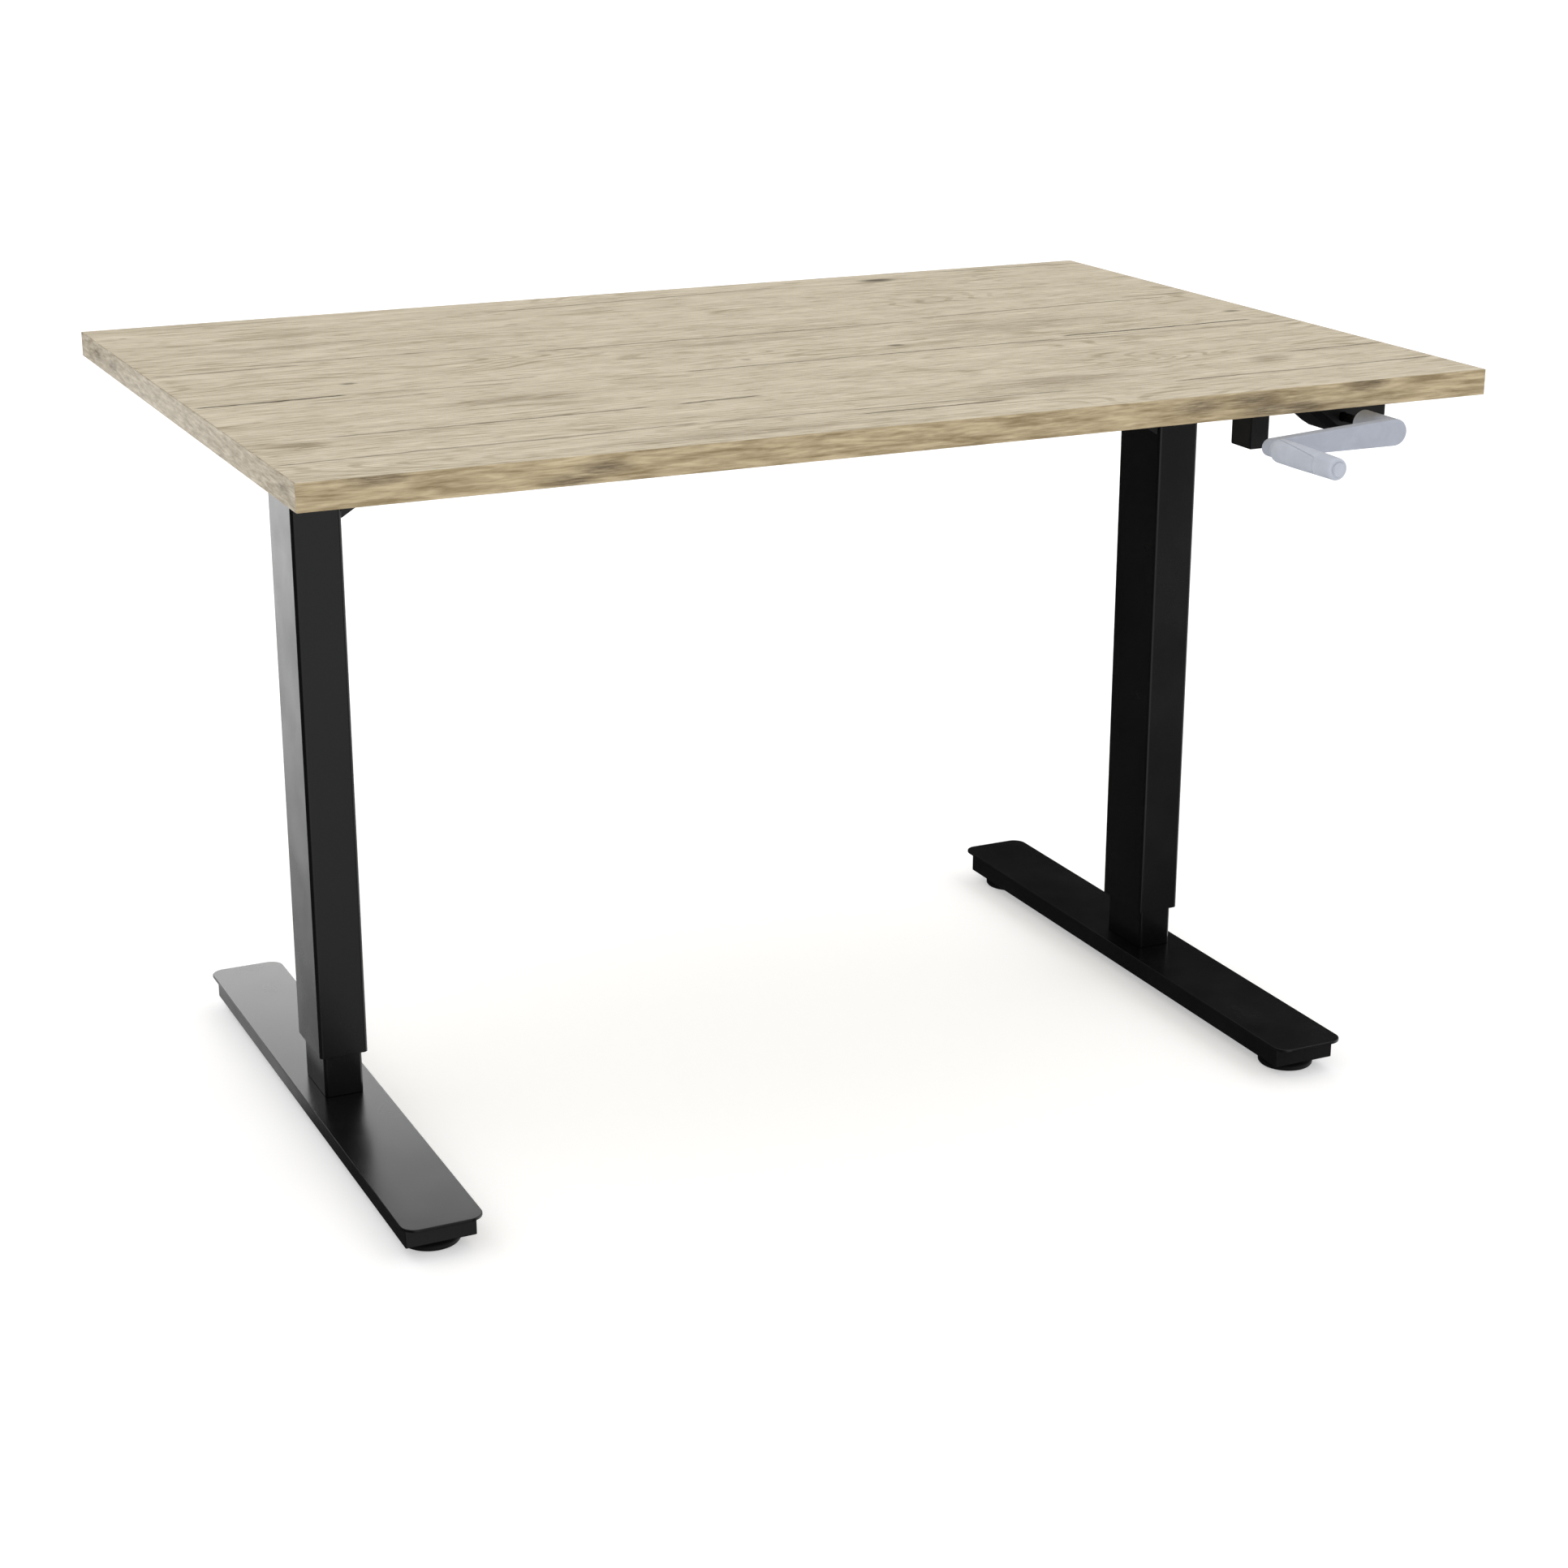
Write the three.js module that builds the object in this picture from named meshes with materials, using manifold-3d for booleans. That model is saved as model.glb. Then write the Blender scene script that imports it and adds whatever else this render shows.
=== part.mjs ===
// A sit-stand desk raised by a hand crank: two telescopic T legs, one lead screw in each,
// turned together by a hexagonal cross shaft that the crank drives through bevel gears.
// Millimetres, +X to the right, +Y to the back, +Z up, floor at Z = 0.

import * as THREE from 'three';
import { mergeVertices } from 'three/addons/utils/BufferGeometryUtils.js';
import Module from 'manifold-3d';

const wasm = await Module();
wasm.setup();

// ---------------------------------------------------------------- driving dimensions

const GAP = 0.3;                    // left between pieces that touch
const RUNNING = 0.25;               // radial clearance between pieces that slide or turn
const END_CLEARANCE = 3;            // left beyond the end of a stroke
const PAST = 1;                     // how far a cutter or a joined piece runs past a face

const DESKTOP = { width: 1200, depth: 800, thickness: 25, edge: 0.6 };
const DESK_HEIGHT = 756;            // top surface above the floor, as shown

const DOWN_TRAVEL = 40;             // room for the inner tubes under the gear housings

const COLUMN = { spacing: 963, width: 50, depth: 80, wall: 1.5, corner: 4, bottom: 82.3 };
const INNER = { inset: 5, wall: 2, corner: 4 };
const GLIDE = { height: 45, lowerRecess: 1 };

const FOOT_PLATE = { width: 80, length: 700, thickness: 3, corner: 15, top: 37 };
const FOOT_BEAM = { width: 70, length: 670, height: 21.7, wall: 2.5 };
const LEVELLER = { spacing: 602, studRadius: 4, studTop: 28.5, collarRadius: 7.2, collarTop: 10 };
const PAD = { radius: 29, height: 8, chamfer: 2, slope: 4, rim: 5 };
const LEVELLER_NUT = { acrossFlats: 13, height: 6.5 };

const SCREW = { radius: 7, neckRadius: 5, bottom: 141.94, stopRadius: 10, stopHeight: 4 };
const NUT = { height: 30 };

const GEAR = {
  pitchRadius: 13,
  teeth: 14,
  faceWidth: 7,
  addendum: 1.3,
  dedendum: 2.2,
  hubRadius: 8.5,
  behind: 2.14,                     // clearance between a gear's hub and the housing wall
};
const TOOTH_SPACE = { halfAngle: 25, sideClearance: 0.22 };
const GEAR_STACK_NESTING = 0.56;    // how far the upper set's hub dips into the lower set

const HOUSING = { wall: 2.5, floor: 10, lid: 3, screwClearance: 1 };
const BEARING = { radius: 13, height: 7.4 };
const CROSS_SHAFT = { acrossFlats: 10 };
const SHAFT_BUSH = { wall: 1.6, inside: 6, outside: 2 };

const RAIL = { sheet: 2.5, height: 50, inset: 3, gussetDrop: 46, gussetRun: 75, flange: 25 };
const RAIL_TAB = { depth: 22, belowTop: 4, aboveTip: 6 };
const SIDE_BRACKET = {
  overhang: 5,                      // beyond each side of the column
  back: 300,
  sheet: 2.5,
  height: 28,
  tipHeight: 13,
  taper: 90,
  slotClearance: 2,
};
const BRACKET_TO_HOUSING = 22;      // free length between the crank housing and the side bracket

const CRANK = {
  axisBelowTop: 49,
  armInFront: 21,                   // front of the arm ahead of the desktop's front edge
  armThickness: 13,
  armLength: 138,
  armDrop: 3.5,
  hubRadius: 13,
  armEndRadius: 8.5,
  armEdge: 2.5,                     // chamfer round the arm
  hubLength: 40,
  shaftWall: 5,                     // left in front of the shaft's socket
  pinWall: 3,                       // left behind the grip pin's hole
  tongue: 5,                        // step in the end of the hub
  push: 33.4,                       // how far the crank slides in until its hub meets the housing
};
const CRANK_SHAFT = { acrossFlats: 8, engagement: 45 };
const DRIVE_TUBE = { radius: 7, neckRadius: 4.5 };
const CRANK_BUSH = { wall: 2.2, length: 7 };
const GRIP = {
  length: 103,
  collarRadius: 8.5,
  collar: 6,
  flare: 3,
  rootRadius: 11.5,
  straight: 34,
  tipRadius: 10.3,
  tipChamfer: 1.5,
  cap: 4,
  edge: 1,
  tipWall: 12,
};
const GRIP_PIN = { radius: 3, endClearance: 2 };

const CRANK_HOUSING = {
  setback: 66,                      // from the desktop's front edge
  depth: 62,
  bevel: 6,
  bevelDepth: 8,
  frontWall: 5,                     // in front of the drive tube, round the crank's shaft
  // Its lower edge from left to right, measured from the crank's axis and the desktop's underside.
  lowerEdge: [[-36, -17], [-20, -29], [-11, -36], [-2, -41.5], [42, -41.5], [56, -28]],
};
const CRANK_REST = { width: 21, depth: 34, height: 40.5, fromArmEnd: 22, behindArm: 46.7 };

// ---------------------------------------------------------------- places worked out from them

const UNDERSIDE = DESK_HEIGHT - DESKTOP.thickness;
const COLUMN_X = COLUMN.spacing / 2;
const COLUMN_TOP = UNDERSIDE - SIDE_BRACKET.sheet - 2 * GAP;
const COLUMN_INNER_FACE = COLUMN_X - COLUMN.width / 2;
const INNER_TUBE = {
  width: COLUMN.width - 2 * INNER.inset,
  depth: COLUMN.depth - 2 * INNER.inset,
  corner: INNER.corner,
  wall: INNER.wall,
};
const CRANK_Z = DESK_HEIGHT - CRANK.axisBelowTop;
const GEAR_BACK = COLUMN.width / 2 - COLUMN.wall - GAP - HOUSING.wall - GEAR.behind;
const CROSS_Z = CRANK_Z - GEAR_BACK - GEAR.pitchRadius + GEAR_STACK_NESTING;
const HOUSING_FLOOR_TOP = CROSS_Z - GEAR_BACK - 5 * GAP;
const HOUSING_BOTTOM = HOUSING_FLOOR_TOP - HOUSING.floor;
const INNER_TOP = HOUSING_BOTTOM - DOWN_TRAVEL - END_CLEARANCE;
const FRONT_EDGE = -DESKTOP.depth / 2;
const ARM_FRONT = FRONT_EDGE - CRANK.armInFront;
const ARM_BACK = ARM_FRONT + CRANK.armThickness;
const HUB_BACK = ARM_BACK + CRANK.hubLength;
const GRIP_TIP = ARM_FRONT - GRIP.length;
const GRIP_X = COLUMN_X - CRANK.armLength;
const GRIP_Z = CRANK_Z - CRANK.armDrop;
const CRANK_HOUSING_FRONT = FRONT_EDGE + CRANK_HOUSING.setback;
const CRANK_HOUSING_BACK = CRANK_HOUSING_FRONT + CRANK_HOUSING.depth;
const DRIVE_TUBE_FRONT = CRANK_HOUSING_FRONT + CRANK_HOUSING.frontWall + GAP;
const SHAFT_BACK = DRIVE_TUBE_FRONT + CRANK_SHAFT.engagement;
const BORE_BACK = SHAFT_BACK + CRANK.push + END_CLEARANCE;
const NUT_BOTTOM = INNER_TOP - NUT.height;
const BEARING_BOTTOM = HOUSING_FLOOR_TOP - BEARING.height - GAP;
const RAIL_END = COLUMN_INNER_FACE - GAP;
const SIDE_BRACKET_WIDTH = COLUMN.width + 2 * SIDE_BRACKET.overhang;

// ---------------------------------------------------------------- solids, joins and cuts

function toSolid(geometry) {
  const bare = geometry.clone();
  bare.deleteAttribute('normal');
  bare.deleteAttribute('uv');
  const merged = mergeVertices(bare, 1e-4);
  return new wasm.Manifold(new wasm.Mesh({
    numProp: 3,
    vertProperties: new Float32Array(merged.attributes.position.array),
    triVerts: new Uint32Array(merged.index.array),
  }));
}

function toGeometry(solid) {
  const mesh = solid.getMesh();
  const geometry = new THREE.BufferGeometry();
  geometry.setAttribute('position', new THREE.BufferAttribute(mesh.vertProperties.slice(), 3));
  geometry.setIndex(new THREE.BufferAttribute(mesh.triVerts.slice(), 1));
  geometry.computeVertexNormals();
  return geometry;
}

function cut(base, ...tools) {
  return toGeometry(tools.reduce((solid, tool) => solid.subtract(toSolid(tool)), toSolid(base)));
}

function join(base, ...others) {
  return toGeometry(others.reduce((solid, other) => solid.add(toSolid(other)), toSolid(base)));
}

// A block between two opposite corners.
function block(low, high) {
  const size = high.map((value, i) => value - low[i]);
  const middle = high.map((value, i) => (value + low[i]) / 2);
  return new THREE.BoxGeometry(...size).translate(...middle);
}

// Turns a shape that was made along +Z so that it runs along +X or +Y.
const alongX = (geometry) => geometry.rotateY(Math.PI / 2);
const alongY = (geometry) => geometry.rotateX(-Math.PI / 2);

// A round bar along +Z from low to high.
function bar(radius, low, high, sides = 16) {
  return new THREE.CylinderGeometry(radius, radius, high - low, sides)
    .rotateX(Math.PI / 2)
    .translate(0, 0, (low + high) / 2);
}

// A hexagonal bar along +Z, sized across its flats.
function hexBar(acrossFlats, low, high) {
  return bar(acrossFlats / Math.sqrt(3), low, high, 6);
}

// A round ring along +Z.
function ring(outer, inner, low, high, sides = 16) {
  return turned([[inner, low], [outer, low], [outer, high], [inner, high], [inner, low]], sides);
}

// A profile of [radius, height] points turned about Z.
function turned(profile, sides = 24) {
  const points = profile.map(([radius, height]) => new THREE.Vector2(radius, height));
  return new THREE.LatheGeometry(points, sides).rotateX(Math.PI / 2);
}

function roundedRectangle(width, depth, corner, Outline = THREE.Shape) {
  const [x, y] = [width / 2 - corner, depth / 2 - corner];
  const outline = new Outline();
  outline.moveTo(x + corner, -y);
  outline.absarc(x, y, corner, 0, Math.PI / 2);
  outline.absarc(-x, y, corner, Math.PI / 2, Math.PI);
  outline.absarc(-x, -y, corner, Math.PI, 1.5 * Math.PI);
  outline.absarc(x, -y, corner, 1.5 * Math.PI, 2 * Math.PI);
  return outline;
}

// A rounded rectangular tube along +Z, or a solid one when the wall is left out.
function rectangularTube({ width, depth, corner, wall }, low, high) {
  const outline = roundedRectangle(width, depth, corner);
  if (wall) {
    const inside = Math.max(corner - wall, GAP);
    outline.holes.push(roundedRectangle(width - 2 * wall, depth - 2 * wall, inside, THREE.Path));
  }
  const settings = { depth: high - low, bevelEnabled: false, curveSegments: 3 };
  return new THREE.ExtrudeGeometry(outline, settings).translate(0, 0, low);
}

// A flat outline of [x, z] points that is given a thickness from front to back.
function upright(points, front, back, bevel = {}) {
  const outline = new THREE.Shape(points.map(([x, z]) => new THREE.Vector2(x, z)));
  return uprightShape(outline, front, back, bevel);
}

function uprightShape(outline, front, back, { edge = 0, run = edge } = {}) {
  const settings = {
    depth: back - front - 2 * run,
    bevelEnabled: edge > 0,
    bevelSize: edge,
    bevelOffset: -edge,
    bevelThickness: run,
    bevelSegments: 1,
    curveSegments: 8,
  };
  return new THREE.ExtrudeGeometry(outline, settings)
    .rotateX(Math.PI / 2)
    .translate(0, back - run, 0);
}

// The outline of a link with a round end of its own radius at each of two points.
function linkOutline(a, radiusA, b, radiusB) {
  const along = Math.atan2(b[1] - a[1], b[0] - a[0]);
  const lean = Math.acos((radiusA - radiusB) / Math.hypot(b[0] - a[0], b[1] - a[1]));
  const outline = new THREE.Shape();
  outline.absarc(a[0], a[1], radiusA, along + lean, along - lean + 2 * Math.PI);
  outline.absarc(b[0], b[1], radiusB, along - lean, along + lean);
  return outline;
}

// ---------------------------------------------------------------- finishes

const finish = (color, roughness, metalness) => () =>
  new THREE.MeshStandardMaterial({ color, roughness, metalness });

const laminate = finish(0xc4b190, 0.55, 0);
const blackSteel = finish(0x1c1c1e, 0.45, 0.3);
const bareSteel = finish(0x9a9ca0, 0.35, 1);
const brass = finish(0xb08d4a, 0.4, 1);
const blackPlastic = finish(0x18181a, 0.6, 0);
const palePlastic = finish(0xdad8d0, 0.5, 0);
const greyPlastic = finish(0xaab0bc, 0.45, 0);
const rubber = finish(0x1f1f1f, 0.85, 0);
const castAlloy = finish(0x8a8c8f, 0.5, 0.8);

function piece(name, geometry, material, place = [0, 0, 0]) {
  const mesh = new THREE.Mesh(geometry, material());
  mesh.name = name;
  mesh.position.set(...place);
  return mesh;
}

// ---------------------------------------------------------------- bevel gears

// A 45 degree bevel gear with its pitch cone's apex at the origin and its body below it.
// The spaces between its teeth narrow towards the apex, so that equal gears mesh.
function bevelGear(boreCutter, spaceFacesMate) {
  const { pitchRadius, teeth, faceWidth, addendum, dedendum, hubRadius } = GEAR;
  const coneLength = pitchRadius * Math.SQRT2;
  const inner = 1 - faceWidth / coneLength;
  const [rise, fall] = [addendum / Math.SQRT2, dedendum / Math.SQRT2];
  const back = -pitchRadius - fall;
  const blank = turned([
    [0, -GEAR_BACK],
    [hubRadius, -GEAR_BACK],
    [hubRadius, back],
    [pitchRadius - fall, back],
    [pitchRadius + rise, -pitchRadius + rise],
    [inner * (pitchRadius + rise), inner * (-pitchRadius + rise)],
    [0, inner * (-pitchRadius + rise)],
  ], 2 * teeth);
  const spaces = [];
  for (let i = 0; i < teeth; i += 1) {
    const turn = (i + (spaceFacesMate ? 0 : 0.5)) / teeth;
    spaces.push(toothSpace(coneLength).rotateZ(2 * Math.PI * turn - Math.PI / 2));
  }
  return cut(blank, boreCutter, ...spaces);
}

// One tooth space, a four-sided pyramid from the apex with its sharp edge at the root.
function toothSpace(coneLength) {
  const slope = Math.tan(THREE.MathUtils.degToRad(TOOTH_SPACE.halfAngle));
  const quarterPitch = Math.PI * GEAR.pitchRadius / (2 * GEAR.teeth);
  const depth = (quarterPitch + TOOTH_SPACE.sideClearance) / slope;
  const above = GEAR.addendum + PAST;
  const reach = 1.3;
  const height = reach * Math.hypot(coneLength, above);
  const radial = reach * (depth + above);
  const tangential = radial * slope;
  const tilt = Math.PI / 4 + Math.atan2(above, coneLength);
  return new THREE.ConeGeometry(1, height, 4)
    .translate(0, -height / 2, 0)
    .scale(radial, 1, tangential)
    .rotateX(Math.PI / 2)
    .rotateY(-tilt);
}

// Sets a gear on a shaft: its body lies outward of the apex and its front faces its mate.
function gear(name, boreCutter, apex, outward, mate, spaceFacesMate) {
  const mesh = piece(name, bevelGear(boreCutter, spaceFacesMate), bareSteel, apex);
  const up = new THREE.Vector3(...outward).negate();
  const away = new THREE.Vector3(...mate).negate();
  const side = new THREE.Vector3().crossVectors(away, up);
  mesh.quaternion.setFromRotationMatrix(new THREE.Matrix4().makeBasis(side, away, up));
  return mesh;
}

// ---------------------------------------------------------------- legs

// One leg as it stands on the floor: foot, inner tube, and the nut that climbs the screw.
function leg(side, x) {
  const plateBottom = FOOT_PLATE.top - FOOT_PLATE.thickness;
  const plate = { width: FOOT_PLATE.width, depth: FOOT_PLATE.length, corner: FOOT_PLATE.corner };
  const beamTop = plateBottom - GAP;
  const beamBottom = beamTop - FOOT_BEAM.height;
  const { wall } = FOOT_BEAM;
  const [halfWidth, halfLength] = [FOOT_BEAM.width / 2, FOOT_BEAM.length / 2];
  const webBottom = beamTop - wall;
  const beam = cut(
    block([-halfWidth, -halfLength, beamBottom], [halfWidth, halfLength, beamTop]),
    block(
      [wall - halfWidth, wall - halfLength, beamBottom - PAST],
      [halfWidth - wall, halfLength - wall, webBottom],
    ),
  );
  const nutSize = {
    width: INNER_TUBE.width - 2 * (INNER.wall + GAP),
    depth: INNER_TUBE.depth - 2 * (INNER.wall + GAP),
    corner: INNER.corner,
  };
  const nut = cut(
    rectangularTube(nutSize, NUT_BOTTOM, INNER_TOP),
    bar(SCREW.radius + RUNNING, NUT_BOTTOM - PAST, INNER_TOP + PAST),
  );
  const glideWall = INNER.inset - COLUMN.wall - RUNNING - GAP;
  const glide = {
    width: INNER_TUBE.width + 2 * (GAP + glideWall),
    depth: INNER_TUBE.depth + 2 * (GAP + glideWall),
    corner: INNER.corner + GAP + glideWall,
    wall: glideWall,
  };
  const footPlate = rectangularTube(plate, plateBottom, FOOT_PLATE.top);
  const innerTube = rectangularTube(INNER_TUBE, FOOT_PLATE.top + GAP, INNER_TOP);
  const upperGlide = rectangularTube(glide, INNER_TOP - GLIDE.height, INNER_TOP);
  const place = [x, 0, 0];
  return [
    piece(`${side}_foot_plate`, footPlate, blackSteel, place),
    piece(`${side}_foot_beam`, beam, blackSteel, place),
    piece(`${side}_inner_tube`, innerTube, blackSteel, place),
    piece(`${side}_upper_glide`, upperGlide, palePlastic, place),
    piece(`${side}_lift_nut`, nut, brass, place),
    ...['front', 'back'].flatMap((end) => leveller(`${end}_${side}`, x, levellerY(end), webBottom)),
  ];
}

const levellerY = (end) => (end === 'front' ? -1 : 1) * LEVELLER.spacing / 2;

// One levelling foot: a moulded pad on a threaded stud, and the weld nut that holds it.
function leveller(name, x, y, webBottom) {
  const { studRadius, studTop, collarRadius, collarTop } = LEVELLER;
  const socket = studRadius + GAP;
  const socketFloor = PAD.height / 2;
  const pad = turned([
    [0, 0],
    [PAD.radius - PAD.chamfer, 0],
    [PAD.radius, PAD.chamfer],
    [PAD.radius, PAD.rim],
    [PAD.radius - PAD.slope, PAD.height],
    [socket, PAD.height],
    [socket, socketFloor],
    [0, socketFloor],
  ]);
  const stud = turned([
    [0, socketFloor + GAP],
    [studRadius, socketFloor + GAP],
    [studRadius, PAD.height + GAP],
    [collarRadius, PAD.height + GAP],
    [collarRadius, collarTop],
    [studRadius, collarTop],
    [studRadius, studTop],
    [0, studTop],
  ], 12);
  const nutTop = webBottom - GAP;
  const nut = cut(
    hexBar(LEVELLER_NUT.acrossFlats, nutTop - LEVELLER_NUT.height, nutTop),
    bar(studRadius + RUNNING, 0, nutTop + PAST),
  );
  return [
    piece(`${name}_pad`, pad, rubber, [x, y, 0]),
    piece(`${name}_stud`, stud, bareSteel, [x, y, 0]),
    piece(`${name}_weld_nut`, nut, bareSteel, [x, y, 0]),
  ];
}

// ---------------------------------------------------------------- columns and their gear housings

// Everything of one column that rises with the desktop.
// Inward is +1 where the desk's middle lies to +X.
function column(side, x, inward, crankEntry) {
  const cavity = {
    width: COLUMN.width - 2 * COLUMN.wall,
    depth: COLUMN.depth - 2 * COLUMN.wall,
  };
  const wallReach = COLUMN.wall + GAP + HOUSING.wall + PAST;
  const face = inward * COLUMN.width / 2;
  const bushBore = CROSS_SHAFT.acrossFlats / Math.sqrt(3) + RUNNING;
  const bushRadius = bushBore + SHAFT_BUSH.wall;
  const crossHole = alongX(bar(bushRadius + GAP, -wallReach, wallReach)).translate(face, 0, CROSS_Z);
  const crankBushRadius = DRIVE_TUBE.radius + RUNNING + CRANK_BUSH.wall;
  const crankHole = alongY(bar(crankBushRadius + GAP, -wallReach, wallReach))
    .translate(0, -COLUMN.depth / 2, CRANK_Z);
  const holes = crankEntry ? [crossHole, crankHole] : [crossHole];

  const fitted = {
    width: cavity.width - 2 * GAP,
    depth: cavity.depth - 2 * GAP,
    corner: COLUMN.corner - COLUMN.wall,
  };
  const lidBottom = COLUMN_TOP - GAP - HOUSING.lid;
  const halfRoom = [fitted.width / 2 - HOUSING.wall, fitted.depth / 2 - HOUSING.wall];
  const housing = cut(
    rectangularTube(fitted, HOUSING_BOTTOM, lidBottom - GAP),
    block([-halfRoom[0], -halfRoom[1], HOUSING_FLOOR_TOP], [halfRoom[0], halfRoom[1], lidBottom]),
    bar(BEARING.radius + GAP, BEARING_BOTTOM - GAP, HOUSING_FLOOR_TOP + PAST),
    bar(SCREW.radius + HOUSING.screwClearance, HOUSING_BOTTOM - PAST, HOUSING_FLOOR_TOP),
    ...holes,
  );

  const glideWall = INNER.inset - COLUMN.wall - GAP - RUNNING;
  const glide = { ...fitted, corner: INNER.corner + RUNNING + glideWall, wall: glideWall };
  const glideBottom = COLUMN.bottom + GLIDE.lowerRecess;
  const lowerGlide = rectangularTube(glide, glideBottom, glideBottom + GLIDE.height);
  const outerTube = cut(rectangularTube(COLUMN, COLUMN.bottom, COLUMN_TOP), ...holes);
  const lid = rectangularTube(fitted, lidBottom, COLUMN_TOP - GAP);
  const bearingTop = BEARING_BOTTOM + BEARING.height;
  const bearing = ring(BEARING.radius, SCREW.neckRadius + RUNNING, BEARING_BOTTOM, bearingTop, 20);
  const bushEnds = [-inward * SHAFT_BUSH.inside, inward * SHAFT_BUSH.outside].sort((a, b) => a - b);
  const bush = alongX(ring(bushRadius, bushBore, ...bushEnds));
  const place = [x, 0, 0];
  return [
    piece(`${side}_outer_tube`, outerTube, blackSteel, place),
    piece(`${side}_lower_glide`, lowerGlide, palePlastic, place),
    piece(`${side}_gear_housing`, housing, castAlloy, place),
    piece(`${side}_housing_lid`, lid, castAlloy, place),
    piece(`${side}_screw_bearing`, bearing, bareSteel, place),
    piece(`${side}_shaft_bush`, bush, brass, [x + face, 0, CROSS_Z]),
  ];
}

// A lead screw that hangs from its bearing, with a stop at its lower end and a neck for its gears.
function leadScrew(name, x, neckTop) {
  const shoulder = BEARING_BOTTOM - GAP;
  const profile = [
    [0, SCREW.bottom],
    [SCREW.stopRadius, SCREW.bottom],
    [SCREW.stopRadius, SCREW.bottom + SCREW.stopHeight],
    [SCREW.radius, SCREW.bottom + SCREW.stopHeight],
    [SCREW.radius, shoulder],
    [SCREW.neckRadius, shoulder],
    [SCREW.neckRadius, neckTop],
    [0, neckTop],
  ];
  return piece(name, turned(profile, 16), bareSteel, [x, 0, 0]);
}

// ---------------------------------------------------------------- frame under the desktop

// A cross rail of folded sheet with a gusset, a top flange and a bolting tab at each end.
function crossRail(name, facing) {
  const top = UNDERSIDE - GAP;
  const bottom = UNDERSIDE - RAIL.height;
  const tip = bottom - RAIL.gussetDrop;
  const step = SIDE_BRACKET.overhang + RAIL.sheet;
  const half = [
    [RAIL_END - RAIL.gussetRun, bottom],
    [RAIL_END, tip],
    [RAIL_END, COLUMN_TOP],
    [RAIL_END - step, COLUMN_TOP],
    [RAIL_END - step, top],
  ];
  const outline = [...half, ...half.toReversed().map(([x, z]) => [-x, z])];
  const face = COLUMN.depth / 2 - RAIL.inset;
  const foldEnd = face - PAST;
  const tabLow = [face - RAIL_TAB.depth, tip + RAIL_TAB.aboveTip];
  const tabHigh = [foldEnd, COLUMN_TOP - RAIL_TAB.belowTop];
  const folds = [
    block([step - RAIL_END, face - RAIL.flange, top - RAIL.sheet], [RAIL_END - step, foldEnd, top]),
    block([RAIL_END - RAIL.sheet, ...tabLow], [RAIL_END, ...tabHigh]),
    block([-RAIL_END, ...tabLow], [RAIL.sheet - RAIL_END, ...tabHigh]),
  ];
  const rail = join(upright(outline, face - RAIL.sheet, face), ...folds);
  return piece(name, facing > 0 ? rail : rail.rotateZ(Math.PI), blackSteel);
}

// A channel, open below, that carries the desktop along the top of one column.
function sideBracket(name, x, inward) {
  const { back, sheet, height, tipHeight, taper, slotClearance } = SIDE_BRACKET;
  const front = CRANK_HOUSING_BACK + BRACKET_TO_HOUSING;
  const top = UNDERSIDE - GAP;
  const outline = [
    [front, top],
    [front, top - tipHeight],
    [front + taper, top - height],
    [back - taper, top - height],
    [back, top - tipHeight],
    [back, top],
  ];
  const half = SIDE_BRACKET_WIDTH / 2;
  const solid = upright(outline, -half, half).rotateZ(Math.PI / 2);
  const cutterBottom = top - height - PAST;
  const room = block([sheet - half, front - PAST, cutterBottom], [half - sheet, back + PAST, top - sheet]);
  const wall = [inward * (half - sheet - PAST), inward * (half + PAST)].sort((a, b) => a - b);
  const halfDepth = COLUMN.depth / 2 + slotClearance;
  const slot = block([wall[0], -halfDepth, cutterBottom], [wall[1], halfDepth, COLUMN_TOP + GAP]);
  return piece(name, cut(solid, room, slot), blackSteel, [x, 0, 0]);
}

function desktop() {
  const halfWidth = DESKTOP.width / 2;
  const corners = [
    [-halfWidth, UNDERSIDE],
    [halfWidth, UNDERSIDE],
    [halfWidth, DESK_HEIGHT],
    [-halfWidth, DESK_HEIGHT],
  ];
  const board = upright(corners, -DESKTOP.depth / 2, DESKTOP.depth / 2, { edge: DESKTOP.edge });
  return piece('desktop', board, laminate);
}

// ---------------------------------------------------------------- crank

// The moulded housing that carries the drive tube and guides the crank's shaft.
function crankHousing() {
  const { bevel, bevelDepth, lowerEdge, frontWall } = CRANK_HOUSING;
  const [left, right] = [lowerEdge[0][0], lowerEdge.at(-1)[0]];
  const outline = [[left, bevel], ...lowerEdge, [right, bevel]];
  const axis = CRANK_Z - UNDERSIDE;
  const shaftBoreRadius = CRANK_SHAFT.acrossFlats / Math.sqrt(3) + RUNNING;
  const tubeRoomFront = CRANK_HOUSING_FRONT + frontWall;
  const shaftBore = bar(shaftBoreRadius, CRANK_HOUSING_FRONT - PAST, tubeRoomFront + PAST);
  const tubeBore = bar(DRIVE_TUBE.radius + RUNNING, tubeRoomFront, CRANK_HOUSING_BACK + PAST);
  const geometry = cut(
    upright(outline, CRANK_HOUSING_FRONT, CRANK_HOUSING_BACK, { edge: bevel, run: bevelDepth }),
    block([left, CRANK_HOUSING_FRONT - PAST, -GAP], [right, CRANK_HOUSING_BACK + PAST, 2 * bevel]),
    alongY(shaftBore).translate(0, 0, axis),
    alongY(tubeBore).translate(0, 0, axis),
  );
  return piece('crank_housing', geometry, blackPlastic, [COLUMN_X, 0, UNDERSIDE]);
}

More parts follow.
